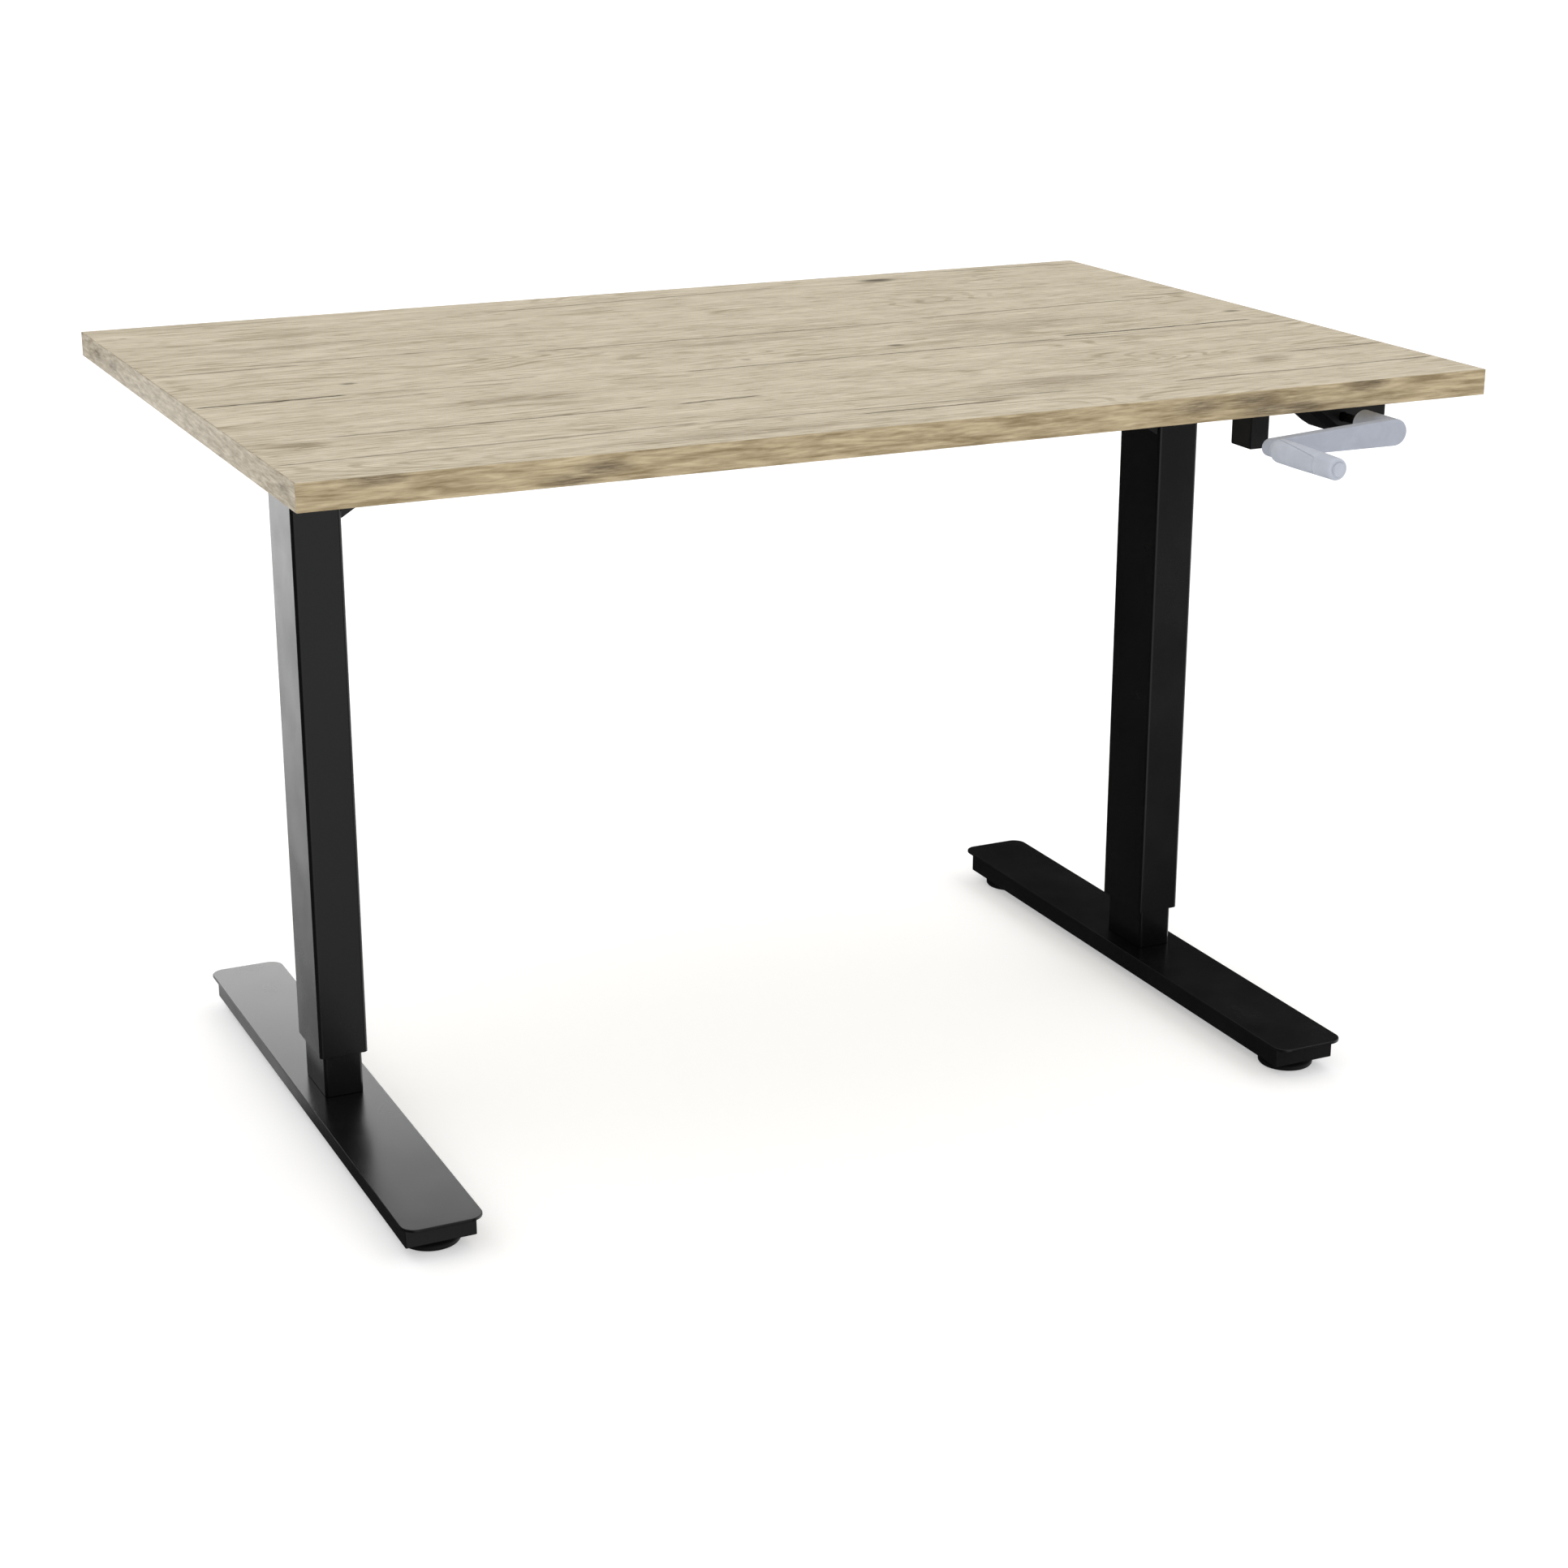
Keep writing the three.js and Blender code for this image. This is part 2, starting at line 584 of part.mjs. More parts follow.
// The small block under the desktop behind the crank's arm.
function crankRest() {
  const { width, depth, height, fromArmEnd, behindArm } = CRANK_REST;
  const front = ARM_BACK + behindArm;
  const half = width / 2;
  const geometry = block([-half, front, UNDERSIDE - height - GAP], [half, front + depth, UNDERSIDE - GAP]);
  return piece('crank_rest', geometry, blackPlastic, [GRIP_X + fromArmEnd, 0, 0]);
}

// The moulded arm with its long hub; the lower half of the hub's end is stepped back.
function crankArm() {
  const hub = [0, 0];
  const end = [GRIP_X - COLUMN_X, GRIP_Z - CRANK_Z];
  const arm = uprightShape(
    linkOutline(hub, CRANK.hubRadius, end, CRANK.armEndRadius),
    ARM_FRONT,
    ARM_BACK,
    { edge: CRANK.armEdge },
  );
  const socket = CRANK_SHAFT.acrossFlats + 2 * GAP;
  const wide = 2 * CRANK.hubRadius;
  const pinHole = bar(GRIP_PIN.radius + GAP, ARM_FRONT - PAST, ARM_BACK - CRANK.pinWall, 12);
  const geometry = cut(
    join(arm, alongY(bar(CRANK.hubRadius, ARM_BACK - CRANK.armEdge - PAST, HUB_BACK, 24))),
    block([-wide, HUB_BACK - CRANK.tongue, -wide], [wide, HUB_BACK + PAST, 0]),
    alongY(hexBar(socket, ARM_FRONT + CRANK.shaftWall, HUB_BACK + PAST)),
    alongY(pinHole).translate(end[0], 0, end[1]),
  );
  return piece('crank_arm', geometry, greyPlastic, [COLUMN_X, 0, CRANK_Z]);
}

function crankGrip() {
  const { length, collarRadius, collar, flare, rootRadius, straight } = GRIP;
  const { tipRadius, tipChamfer, cap, edge } = GRIP;
  const bore = GRIP_PIN.radius + RUNNING;
  const boreEnd = length - GRIP.tipWall;
  const capStart = length - cap;
  const barrel = turned([
    [0, boreEnd],
    [bore, boreEnd],
    [bore, GAP],
    [collarRadius, GAP],
    [collarRadius, collar - edge],
    [rootRadius - edge, collar],
    [rootRadius, collar + flare],
    [rootRadius, straight],
    [tipRadius, capStart - tipChamfer],
    [tipRadius - tipChamfer, capStart],
    [collarRadius, capStart],
    [collarRadius, length - edge],
    [collarRadius - edge, length],
    [0, length],
  ], 20);
  return piece('crank_grip', barrel.rotateX(Math.PI / 2), greyPlastic, [GRIP_X, ARM_FRONT, GRIP_Z]);
}

// The tube that turns the crank's gear. The crank's shaft slides in its hexagonal bore.
function driveTube() {
  const shoulder = -GEAR_BACK - GAP;
  const neckEnd = -innerFace() - GAP;
  const geometry = cut(
    join(
      bar(DRIVE_TUBE.radius, DRIVE_TUBE_FRONT, shoulder),
      bar(DRIVE_TUBE.neckRadius, shoulder - PAST, neckEnd),
    ),
    hexBar(CRANK_SHAFT.acrossFlats + 2 * RUNNING, DRIVE_TUBE_FRONT - PAST, BORE_BACK),
  );
  return piece('crank_drive_tube', alongY(geometry), bareSteel, [COLUMN_X, 0, CRANK_Z]);
}

// How far the small end of every bevel gear stands from its apex.
function innerFace() {
  const { pitchRadius, faceWidth, addendum } = GEAR;
  return (1 - faceWidth / (pitchRadius * Math.SQRT2)) * (pitchRadius - addendum / Math.SQRT2);
}

function crank() {
  const bushBore = DRIVE_TUBE.radius + RUNNING;
  const bush = ring(bushBore + CRANK_BUSH.wall, bushBore, -CRANK_BUSH.length / 2, CRANK_BUSH.length / 2);
  const shaft = hexBar(CRANK_SHAFT.acrossFlats, ARM_FRONT + CRANK.shaftWall + GAP, SHAFT_BACK);
  const pinFront = GRIP_TIP + GRIP.tipWall + GRIP_PIN.endClearance;
  const pin = bar(GRIP_PIN.radius, pinFront, ARM_BACK - CRANK.pinWall - GAP, 12);
  return [
    crankHousing(),
    crankRest(),
    piece('crank_bush', alongY(bush), brass, [COLUMN_X, -COLUMN.depth / 2, CRANK_Z]),
    driveTube(),
    crankArm(),
    piece('crank_shaft', alongY(shaft), bareSteel, [COLUMN_X, 0, CRANK_Z]),
    piece('grip_pin', alongY(pin), bareSteel, [GRIP_X, 0, GRIP_Z]),
    crankGrip(),
  ];
}

// ---------------------------------------------------------------- drive train

function driveTrain() {
  const reach = 2 * GEAR_BACK;
  const neckBore = () => bar(SCREW.neckRadius + GAP, -reach, reach);
  const hexBore = () => hexBar(CROSS_SHAFT.acrossFlats + 2 * GAP, -reach, reach);
  const tubeBore = () => bar(DRIVE_TUBE.neckRadius + GAP, -reach, reach);
  const [left, right, front, down] = [[-1, 0, 0], [1, 0, 0], [0, -1, 0], [0, 0, -1]];
  const leftApex = [-COLUMN_X, 0, CROSS_Z];
  const rightApex = [COLUMN_X, 0, CROSS_Z];
  const crankApex = [COLUMN_X, 0, CRANK_Z];
  const shaftEnd = COLUMN_X - innerFace() - GAP;
  const crossShaft = alongX(hexBar(CROSS_SHAFT.acrossFlats, -shaftEnd, shaftEnd).rotateZ(Math.PI / 6));
  return [
    leadScrew('left_lead_screw', -COLUMN_X, CROSS_Z - innerFace()),
    leadScrew('right_lead_screw', COLUMN_X, CRANK_Z - innerFace()),
    gear('left_screw_gear', neckBore(), leftApex, down, right, false),
    gear('left_shaft_gear', hexBore(), leftApex, right, down, true),
    gear('right_screw_gear', neckBore(), rightApex, down, left, false),
    gear('right_shaft_gear', hexBore(), rightApex, left, down, true),
    gear('right_crank_screw_gear', neckBore(), crankApex, down, front, false),
    gear('crank_gear', tubeBore(), crankApex, front, down, true),
    piece('cross_shaft', crossShaft, bareSteel, [0, 0, CROSS_Z]),
  ];
}

// ---------------------------------------------------------------- the desk

const desk = new THREE.Group();
desk.add(
  desktop(),
  crossRail('front_rail', -1),
  crossRail('back_rail', 1),
  sideBracket('left_side_bracket', -COLUMN_X, 1),
  sideBracket('right_side_bracket', COLUMN_X, -1),
  ...column('left', -COLUMN_X, 1, false),
  ...column('right', COLUMN_X, -1, true),
  ...leg('left', -COLUMN_X),
  ...leg('right', COLUMN_X),
  ...driveTrain(),
  ...crank(),
);

// The origin is on the floor, under the middle of the desk's whole length from grip to back edge.
desk.position.y = (-GRIP_TIP - DESKTOP.depth / 2) / 2;

export default desk;
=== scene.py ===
"""Looks of a hand-cranked sit-stand desk: board, telescopic T legs, cross rails and crank.

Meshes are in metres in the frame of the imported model: +X right, +Y back, +Z up, floor at Z = 0.
Sizes in this file are in millimetres, with Y from the desk's middle, unless a comment says metres.
"""

import logging
import math
from dataclasses import dataclass
from enum import Enum
from typing import Callable, Iterable, Sequence

import bmesh
import bpy
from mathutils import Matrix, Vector


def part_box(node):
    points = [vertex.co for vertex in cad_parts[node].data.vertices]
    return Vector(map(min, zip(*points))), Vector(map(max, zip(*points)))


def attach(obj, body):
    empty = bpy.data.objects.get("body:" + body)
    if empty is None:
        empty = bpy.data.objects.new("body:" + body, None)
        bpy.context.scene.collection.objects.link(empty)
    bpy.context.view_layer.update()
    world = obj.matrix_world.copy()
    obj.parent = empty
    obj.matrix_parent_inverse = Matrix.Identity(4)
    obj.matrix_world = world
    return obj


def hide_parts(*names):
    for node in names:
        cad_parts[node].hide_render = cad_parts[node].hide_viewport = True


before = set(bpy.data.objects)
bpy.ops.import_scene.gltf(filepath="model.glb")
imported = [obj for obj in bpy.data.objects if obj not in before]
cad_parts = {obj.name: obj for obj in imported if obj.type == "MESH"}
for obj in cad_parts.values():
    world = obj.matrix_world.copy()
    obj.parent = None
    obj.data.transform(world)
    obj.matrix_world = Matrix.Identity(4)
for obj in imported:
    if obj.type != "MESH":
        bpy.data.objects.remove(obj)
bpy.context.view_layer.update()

LOG = logging.getLogger("desk")
MM = 0.001
PER_METRE = 1000.0
DESK_Y = 0.062  # metres from the origin back to the desk's middle
DESK_TOP = 756.0
SHARP = math.radians(35)  # faces that meet at more than this keep a hard edge

Point = tuple[float, float, float]
Flat = tuple[float, float]
Colour = tuple[float, float, float, float]
Solid = tuple[list[Point], list[list[int]]]
Outline = Callable[[float], list[Flat]]
Tree = bpy.types.NodeTree
Node = bpy.types.Node
Socket = bpy.types.NodeSocket
Object = bpy.types.Object
Mesh = bpy.types.Mesh


# ---------------------------------------------------------------- small tools


class Side(Enum):
    """One side of the desk, with its sign along X."""

    LEFT = ("left", -1)
    RIGHT = ("right", 1)

    @property
    def label(self) -> str:
        """The side's name as the CAD nodes use it."""
        return self.value[0]

    @property
    def sign(self) -> int:
        """The side's sign along X."""
        return self.value[1]


class Axis(Enum):
    """The direction that a profile is turned or drawn out along."""

    X = "x"
    Y = "y"
    Z = "z"

    def place(self, across: float, up: float, along: float) -> Point:
        """Finds a point in space.

        Args:
            across: its first place across the axis.
            up: its second place across the axis.
            along: its place along the axis.

        Returns:
            The point.
        """
        if self is Axis.X:
            return (along, across, up)
        if self is Axis.Y:
            return (across, along, up)
        return (across, up, along)


@dataclass(frozen=True)
class Box:
    """The box round a CAD node."""

    low: Vector
    high: Vector

    @property
    def middle(self) -> Vector:
        """The box's centre."""
        return (self.low + self.high) / 2

    @property
    def size(self) -> Vector:
        """The box's three sizes."""
        return self.high - self.low


def box_of(node: str) -> Box:
    """Measures a CAD node.

    Args:
        node: the node's name.

    Returns:
        Its box.
    """
    shift = Vector((0, DESK_Y * PER_METRE, 0))
    low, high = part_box(node)
    return Box(Vector(low) * PER_METRE - shift, Vector(high) * PER_METRE - shift)


def linear(hex_colour: str) -> Colour:
    """Turns an sRGB hex colour into linear light.

    Args:
        hex_colour: six hex digits.

    Returns:
        Red, green, blue and an alpha of 1.
    """
    channels = [int(hex_colour[i : i + 2], 16) / 255 for i in (0, 2, 4)]
    light = [c / 12.92 if c <= 0.04045 else ((c + 0.055) / 1.055) ** 2.4 for c in channels]
    return (light[0], light[1], light[2], 1.0)


def add_node(
    tree: Tree,
    kind: str,
    settings: dict[str, object] | None = None,
    inputs: dict[str | int, object] | None = None,
) -> Node:
    """Adds a node, sets its properties, and sets or links its inputs.

    Args:
        tree: the node tree.
        kind: the node's type name.
        settings: properties by name.
        inputs: values or output sockets by input name or number.

    Returns:
        The new node.
    """
    node = tree.nodes.new(kind)
    for key, value in (settings or {}).items():
        setattr(node, key, value)
    for key, value in (inputs or {}).items():
        if isinstance(value, Socket):
            tree.links.new(value, node.inputs[key])
        else:
            node.inputs[key].default_value = value
    return node


def link_object(name: str, mesh: Mesh) -> Object:
    """Puts a mesh in the scene at the origin.

    Args:
        name: the object's name.
        mesh: its mesh.

    Returns:
        The object.
    """
    obj = bpy.data.objects.new(name, mesh)
    bpy.context.scene.collection.objects.link(obj)
    return obj


def reworked(mesh: Mesh, work: Callable[[bmesh.types.BMesh], None]) -> None:
    """Edits a mesh in place.

    Args:
        mesh: the mesh.
        work: the edit, on the mesh's editable form.
    """
    form = bmesh.new()
    form.from_mesh(mesh)
    work(form)
    form.to_mesh(mesh)
    form.free()


def face_outwards(form: bmesh.types.BMesh) -> None:
    """Turns every face outwards.

    Args:
        form: a mesh's editable form.
    """
    bmesh.ops.recalc_face_normals(form, faces=form.faces)


def evaluated_mesh(obj: Object) -> Mesh:
    """Applies an object's modifiers and removes the object.

    Args:
        obj: the object.

    Returns:
        The finished mesh.
    """
    graph = bpy.context.evaluated_depsgraph_get()
    mesh = bpy.data.meshes.new_from_object(obj.evaluated_get(graph), depsgraph=graph)
    bpy.data.objects.remove(obj)
    return mesh


def mesh_of(name: str, points: Sequence[Point], faces: Sequence[Sequence[int]]) -> Mesh:
    """Makes a closed mesh in the model's frame, with its faces outwards.

    Args:
        name: the mesh's name.
        points: its corners.
        faces: corner numbers of each face.

    Returns:
        The mesh.
    """
    mesh = bpy.data.meshes.new(name)
    moved = [(x * MM, y * MM + DESK_Y, z * MM) for x, y, z in points]
    mesh.from_pydata(moved, [], faces)

    def close(form: bmesh.types.BMesh) -> None:
        """Joins doubled corners and turns the faces outwards."""
        bmesh.ops.remove_doubles(form, verts=form.verts, dist=1e-7)
        face_outwards(form)

    reworked(mesh, close)
    return mesh


def settled(name: str, mesh: Mesh, shape: Callable[[Object], None] | None = None) -> Object:
    """Applies modifiers to a mesh, with clean normals on flat and rounded faces.

    Args:
        name: the finished object's name.
        mesh: the raw mesh.
        shape: adds the modifiers that change the shape.

    Returns:
        An object without modifiers.
    """
    raw = link_object(name + "_raw", mesh)
    mesh.shade_smooth()
    if shape:
        shape(raw)
    smooth = raw.modifiers.new("Even normals", "WEIGHTED_NORMAL")
    smooth.keep_sharp = True
    mesh.set_sharp_from_angle(angle=SHARP)
    return link_object(name, evaluated_mesh(raw))


def ring_faces(rows: int, columns: int) -> list[list[int]]:
    """Joins closed rows of points with quads, and caps the first and the last row.

    Args:
        rows: how many rows there are.
        columns: points in each row.

    Returns:
        The faces, with the two caps last.
    """
    faces = []
    for row in range(rows - 1):
        for column in range(columns):
            after = (column + 1) % columns
            first, second = row * columns, (row + 1) * columns
            faces.append([first + column, first + after, second + after, second + column])
    faces.append(list(range(columns)))
    faces.append(list(range((rows - 1) * columns, rows * columns)))
    return faces


def turned(profile: Sequence[Flat], axis: Axis, centre: Point, sides: int = 96) -> Solid:
    """Turns a profile about an axis.

    Args:
        profile: radius and place along the axis; both ends are capped.
        axis: the axis that it turns about.
        centre: where the axis's zero lies.
        sides: points round the axis.

    Returns:
        Points and faces.
    """
    points = []
    for radius, along in profile:
        for i in range(sides):
            turn = math.tau * i / sides
            x, y, z = axis.place(radius * math.cos(turn), radius * math.sin(turn), along)
            points.append((x + centre[0], y + centre[1], z + centre[2]))
    return points, ring_faces(len(profile), sides)


def edge_steps(radius: float, steps: int = 5) -> list[Flat]:
    """Divides a rounded edge into loops, from the flat to the side.

    Args:
        radius: the edge's radius.
        steps: faces across it.

    Returns:
        How far in and along each loop lies.
    """
    turns = [math.pi / 2 * i / steps for i in range(steps + 1)]
    return [(radius * (1 - math.sin(turn)), radius * (1 - math.cos(turn))) for turn in turns]


def rounded_loops(low: float, high: float, steps: Sequence[Flat]) -> list[Flat]:
    """Places the loops of a solid whose two end edges are rounded.

    Args:
        low: where the solid starts.
        high: where it ends.
        steps: the loops of one edge, from edge_steps.

    Returns:
        The inset and the place of each loop.
    """
    loops = [(inset, low + along) for inset, along in steps]
    return loops + [(inset, high - along) for inset, along in reversed(steps)]


def drawn(outline: Outline, axis: Axis, low: float, high: float, edge: float) -> Solid:
    """Draws an outline out into a solid with rounded ends.

    Args:
        outline: gives the outline's points for an inset.
        axis: the direction it is drawn along.
        low: where it starts.
        high: where it ends.
        edge: the radius of its end edges.

    Returns:
        Points and faces.
    """
    loops = rounded_loops(low, high, edge_steps(edge))
    points = [axis.place(a, b, along) for inset, along in loops for a, b in outline(inset)]
    return points, ring_faces(len(loops), len(outline(0)))


def rounded_box_outline(
    centre: Flat, width: float, depth: float, corner: float, steps: int = 10
) -> Outline:
    """Outlines a rounded rectangle.

    Args:
        centre: its centre.
        width: its first size.
        depth: its second size.
        corner: its corners' radius.
        steps: edges in each corner.

    Returns:
        A function that gives the outline for an inset.
    """

    def outline(inset: float) -> list[Flat]:
        """Gives the outline's points at one inset."""
        radius = max(corner - inset, 0.02)
        reach = (width / 2 - inset - radius, depth / 2 - inset - radius)
        points = []
        for quarter, (sx, sy) in enumerate([(1, 1), (-1, 1), (-1, -1), (1, -1)]):
            for i in range(steps + 1):
                turn = math.pi / 2 * (quarter + i / steps)
                x = centre[0] + sx * reach[0] + radius * math.cos(turn)
                y = centre[1] + sy * reach[1] + radius * math.sin(turn)
                points.append((x, y))
        return points

    return outline


def merged(*solids: Solid) -> Solid:
    """Joins several solids into one.

    Args:
        *solids: the solids.

    Returns:
        All their points and faces.
    """
    points: list[Point] = []
    faces: list[list[int]] = []
    for new_points, new_faces in solids:
        start = len(points)
        points += new_points
        faces += [[start + i for i in face] for face in new_faces]
    return points, faces


# ---------------------------------------------------------------- finishes


def millimetre_space(tree: Tree, scale: Point = (1, 1, 1)) -> Socket:
    """Reads the place on an object in millimetres from the desk's middle.

    Args:
        tree: the material's tree.
        scale: how far each direction is stretched.

    Returns:
        The stretched place.
    """
    inputs = {
        "Vector": add_node(tree, "ShaderNodeTexCoord").outputs["Object"],
        "Scale": tuple(s * PER_METRE for s in scale),
        "Location": (0, -DESK_Y * PER_METRE * scale[1], 0),
    }
    return add_node(tree, "ShaderNodeMapping", inputs=inputs).outputs["Vector"]


def noise(
    tree: Tree, per_mm: float | Point, detail: float, roughness: float, distortion: float = 0.0
) -> Socket:
    """Adds a noise pattern over an object.

    Args:
        tree: the material's tree.
        per_mm: patches in a millimetre, the same all ways or along X, Y and Z.
        detail: how many finer layers it has.
        roughness: how strong the finer layers are.
        distortion: how far it is bent.

    Returns:
        Its value, from 0 to 1.
    """
    scale = per_mm if isinstance(per_mm, tuple) else (per_mm, per_mm, per_mm)
    inputs = {
        "Vector": millimetre_space(tree, scale),
        "Scale": 1.0,
        "Detail": detail,
        "Roughness": roughness,
        "Distortion": distortion,
    }
    return add_node(tree, "ShaderNodeTexNoise", inputs=inputs).outputs[0]


def remap(
    tree: Tree,
    value: Socket,
    source: Sequence[object],
    target: Sequence[object],
    smooth: bool = False,
) -> Socket:
    """Carries a value from one range to another, clamped.

    Args:
        tree: the node tree.
        value: the value's socket.
        source: the range it has, in numbers or sockets.
        target: the range it gets, in numbers or sockets.
        smooth: whether it eases in and out.

    Returns:
        The new value.
    """
    settings = {"interpolation_type": "SMOOTHSTEP" if smooth else "LINEAR"}
    inputs = dict(enumerate((value, *source, *target)))
    return add_node(tree, "ShaderNodeMapRange", settings, inputs).outputs[0]


def math_node(tree: Tree, how: str, *values: object) -> Socket:
    """Adds one sum.

    Args:
        tree: the node tree.
        how: the sum's name.
        *values: numbers or sockets.

    Returns:
        The result.
    """
    return add_node(tree, "ShaderNodeMath", {"operation": how}, dict(enumerate(values))).outputs[0]


def blended(tree: Tree, factor: object, first: object, second: object) -> Socket:
    """Mixes two colours.

    Args:
        tree: the material's tree.
        factor: the second one's share.
        first: a colour or its socket.
        second: a colour or its socket.

    Returns:
        The mixed colour.
    """
    inputs = {0: factor, 6: first, 7: second}
    return add_node(tree, "ShaderNodeMix", {"data_type": "RGBA"}, inputs).outputs[2]


@dataclass(frozen=True)
class Relief:
    """What a finish's pattern does to its gloss and its height."""

    glossier: float  # how far the roughness falls where the pattern is low
    duller: float  # how far it rises where the pattern is high
    depth: float  # the bump's depth in metres
    strength: float


@dataclass(frozen=True)
class Finish:
    """What a surface is made of and how it was made."""

    name: str
    colour: str
    roughness: float
    metallic: float = 0.0
    ior: float = 1.5

    def make(self) -> bpy.types.Material:
        """Builds the material, or finds it if it has been built.

        Returns:
            The material.
        """
        built = bpy.data.materials.get(self.name)
        if built:
            return built
        material = bpy.data.materials.new(self.name)
        material.use_nodes = True
        tree = material.node_tree
        shader = tree.nodes["Principled BSDF"]
        shader.inputs["Base Color"].default_value = linear(self.colour)
        shader.inputs["Roughness"].default_value = self.roughness
        shader.inputs["Metallic"].default_value = self.metallic
        if not self.metallic:
            shader.inputs["IOR"].default_value = self.ior
        self.dress(tree, shader)
        return material

    def dress(self, tree: Tree, shader: Node) -> None:
        """Adds the finish's own detail.

        Args:
            tree: the material's tree.
            shader: its surface shader.
        """

    def between(
        self, tree: Tree, pattern: Socket, source: Flat, colours: tuple[str, str]
    ) -> Socket:
        """Mixes two hex colours by a pattern.

        Args:
            tree: the material's tree.
            pattern: the pattern's value.
            source: the pattern's values that give the first and the second colour.
            colours: both colours.

        Returns:
            The mixed colour.
        """
        share = remap(tree, pattern, source, (0, 1))
        return blended(tree, share, linear(colours[0]), linear(colours[1]))

    def surface(
        self, shader: Node, colour: Socket, sheen: Socket, height: Socket, relief: Relief
    ) -> None:
        """Links a colour, a change of gloss and a bump to the shader.

        Args:
            shader: the surface shader.
            colour: the base colour.
            sheen: the pattern that changes the gloss.
            height: the pattern that raises the surface.
            relief: how far they do so.
        """
        tree = shader.id_data
        tree.links.new(colour, shader.inputs["Base Color"])
        spread = (self.roughness - relief.glossier, self.roughness + relief.duller)
        tree.links.new(remap(tree, sheen, (0.3, 0.7), spread), shader.inputs["Roughness"])
        inputs = {"Height": height, "Distance": relief.depth, "Strength": relief.strength}
        bump = add_node(tree, "ShaderNodeBump", inputs=inputs)
        tree.links.new(bump.outputs["Normal"], shader.inputs["Normal"])


@dataclass(frozen=True)
class PowderCoat(Finish):
    """Polyester powder coat baked on sheet steel."""

    peel_mm: float = 1.6  # from crest to crest, drawn coarser than the real 1 mm so that it shows
    light: str = "0d0d0e"

    def dress(self, tree: Tree, shader: Node) -> None:
        """Adds a faint orange peel and a slow change of tone and gloss.

        Args:
            tree: the material's tree.
            shader: its surface shader.
        """
        peel = noise(tree, 1 / self.peel_mm, 2, 0.4)
        cloud = noise(tree, 0.011, 4, 0.55)
        colour = self.between(tree, cloud, (0.35, 0.7), (self.colour, self.light))
        self.surface(shader, colour, cloud, peel, Relief(0.04, 0.06, 0.00003, 0.06))


@dataclass(frozen=True)
class Moulded(Finish):
    """Injection-moulded plastic from a spark-eroded mould."""

    grain_mm: float = 0.5  # drawn coarser than the real 0.1 to 0.2 mm so that it shows
    light: str = "202022"

    def dress(self, tree: Tree, shader: Node) -> None:
        """Adds an even, fine, dull grain with slow flow marks.

        Args:
            tree: the material's tree.
            shader: its surface shader.
        """
        grain = noise(tree, 1 / self.grain_mm, 2, 0.6)
        flow = noise(tree, 0.045, 4, 0.6, 0.6)
        colour = self.between(tree, flow, (0.3, 0.7), (self.colour, self.light))
        self.surface(shader, colour, grain, grain, Relief(0.06, 0.08, 0.00005, 0.3))


@dataclass(frozen=True)
class Metal(Finish):
    """Bare or plated metal with drawing or casting marks."""

    light: str = "c8cace"
    marks: Point = (1.2, 1.2, 1.2)  # marks in a millimetre along X, Y and Z

    def dress(self, tree: Tree, shader: Node) -> None:
        """Adds marks along the working direction, and a cloudy tone.

        Args:
            tree: the material's tree.
            shader: its surface shader.
        """
        marks = noise(tree, self.marks, 4, 0.6)
        cloud = noise(tree, 0.06, 3, 0.6)
        colour = self.between(tree, cloud, (0.3, 0.7), (self.colour, self.light))
        self.surface(shader, colour, marks, marks, Relief(0.08, 0.1, 0.00003, 0.25))


@dataclass(frozen=True)
class Streak:
    """A dark crack line printed in the decor, at its place on the board."""

    start: float
    end: float
    first: float
    last: float
    strength: float
    width: float = 2.0

    def values(self) -> tuple[float, ...]:
        """The crack group's inputs after the place, with thin and faint lines made to show."""
        return (self.start, self.end, self.first, self.last, self.width * 1.7, self.strength**0.6)


@dataclass(frozen=True)
class Knot:
    """A dark knot or smudge printed in the decor, at its place on the board."""

    x: float
    y: float
    reach: float
    height: float
    strength: float

    def values(self) -> tuple[float, ...]:
        """The knot group's inputs after the place, with small and faint ones made to show."""
        return (self.x, self.y, self.reach * 1.15, self.height * 1.15, self.strength**0.8)


# start and end along X, then the place across at the start and at the end, and the strength
CRACKS = [
    Streak(*row)
    for row in (
        *((-520, -385, 378, 378, 0.25), (-180, 190, 336, 358, 0.45)),
        *((-600, -440, 110, 115, 0.55), (-500, -190, 131, 130, 0.3), (-215, 230, 87, 86, 0.5)),
        *((230, 560, 102, 115, 0.5), (500, 600, 130, 133, 0.35)),
        *((-600, -445, -58, -54, 1.0, 2.6), (-445, -285, -54, -62, 0.25)),
        *((315, 560, -60, -55, 1.0, 2.6), (-120, 310, -79, -73, 0.65)),
        *((-525, -210, -236, -227, 0.5), (-190, -95, -227, -219, 0.9)),
        *((-600, -200, -328, -314, 0.45), (-200, 180, -316, -322, 0.35)),
        *((285, 600, -324, -317, 0.5), (-60, 100, -338, -338, 0.75), (475, 600, -237, -232, 0.6)),
        *((400, 600, 385, 378, 0.4), (-340, -250, -43, -43, 0.3), (250, 600, -81, -81, 0.25)),
        (-500, -370, -80, -80, 0.25),
    )
]
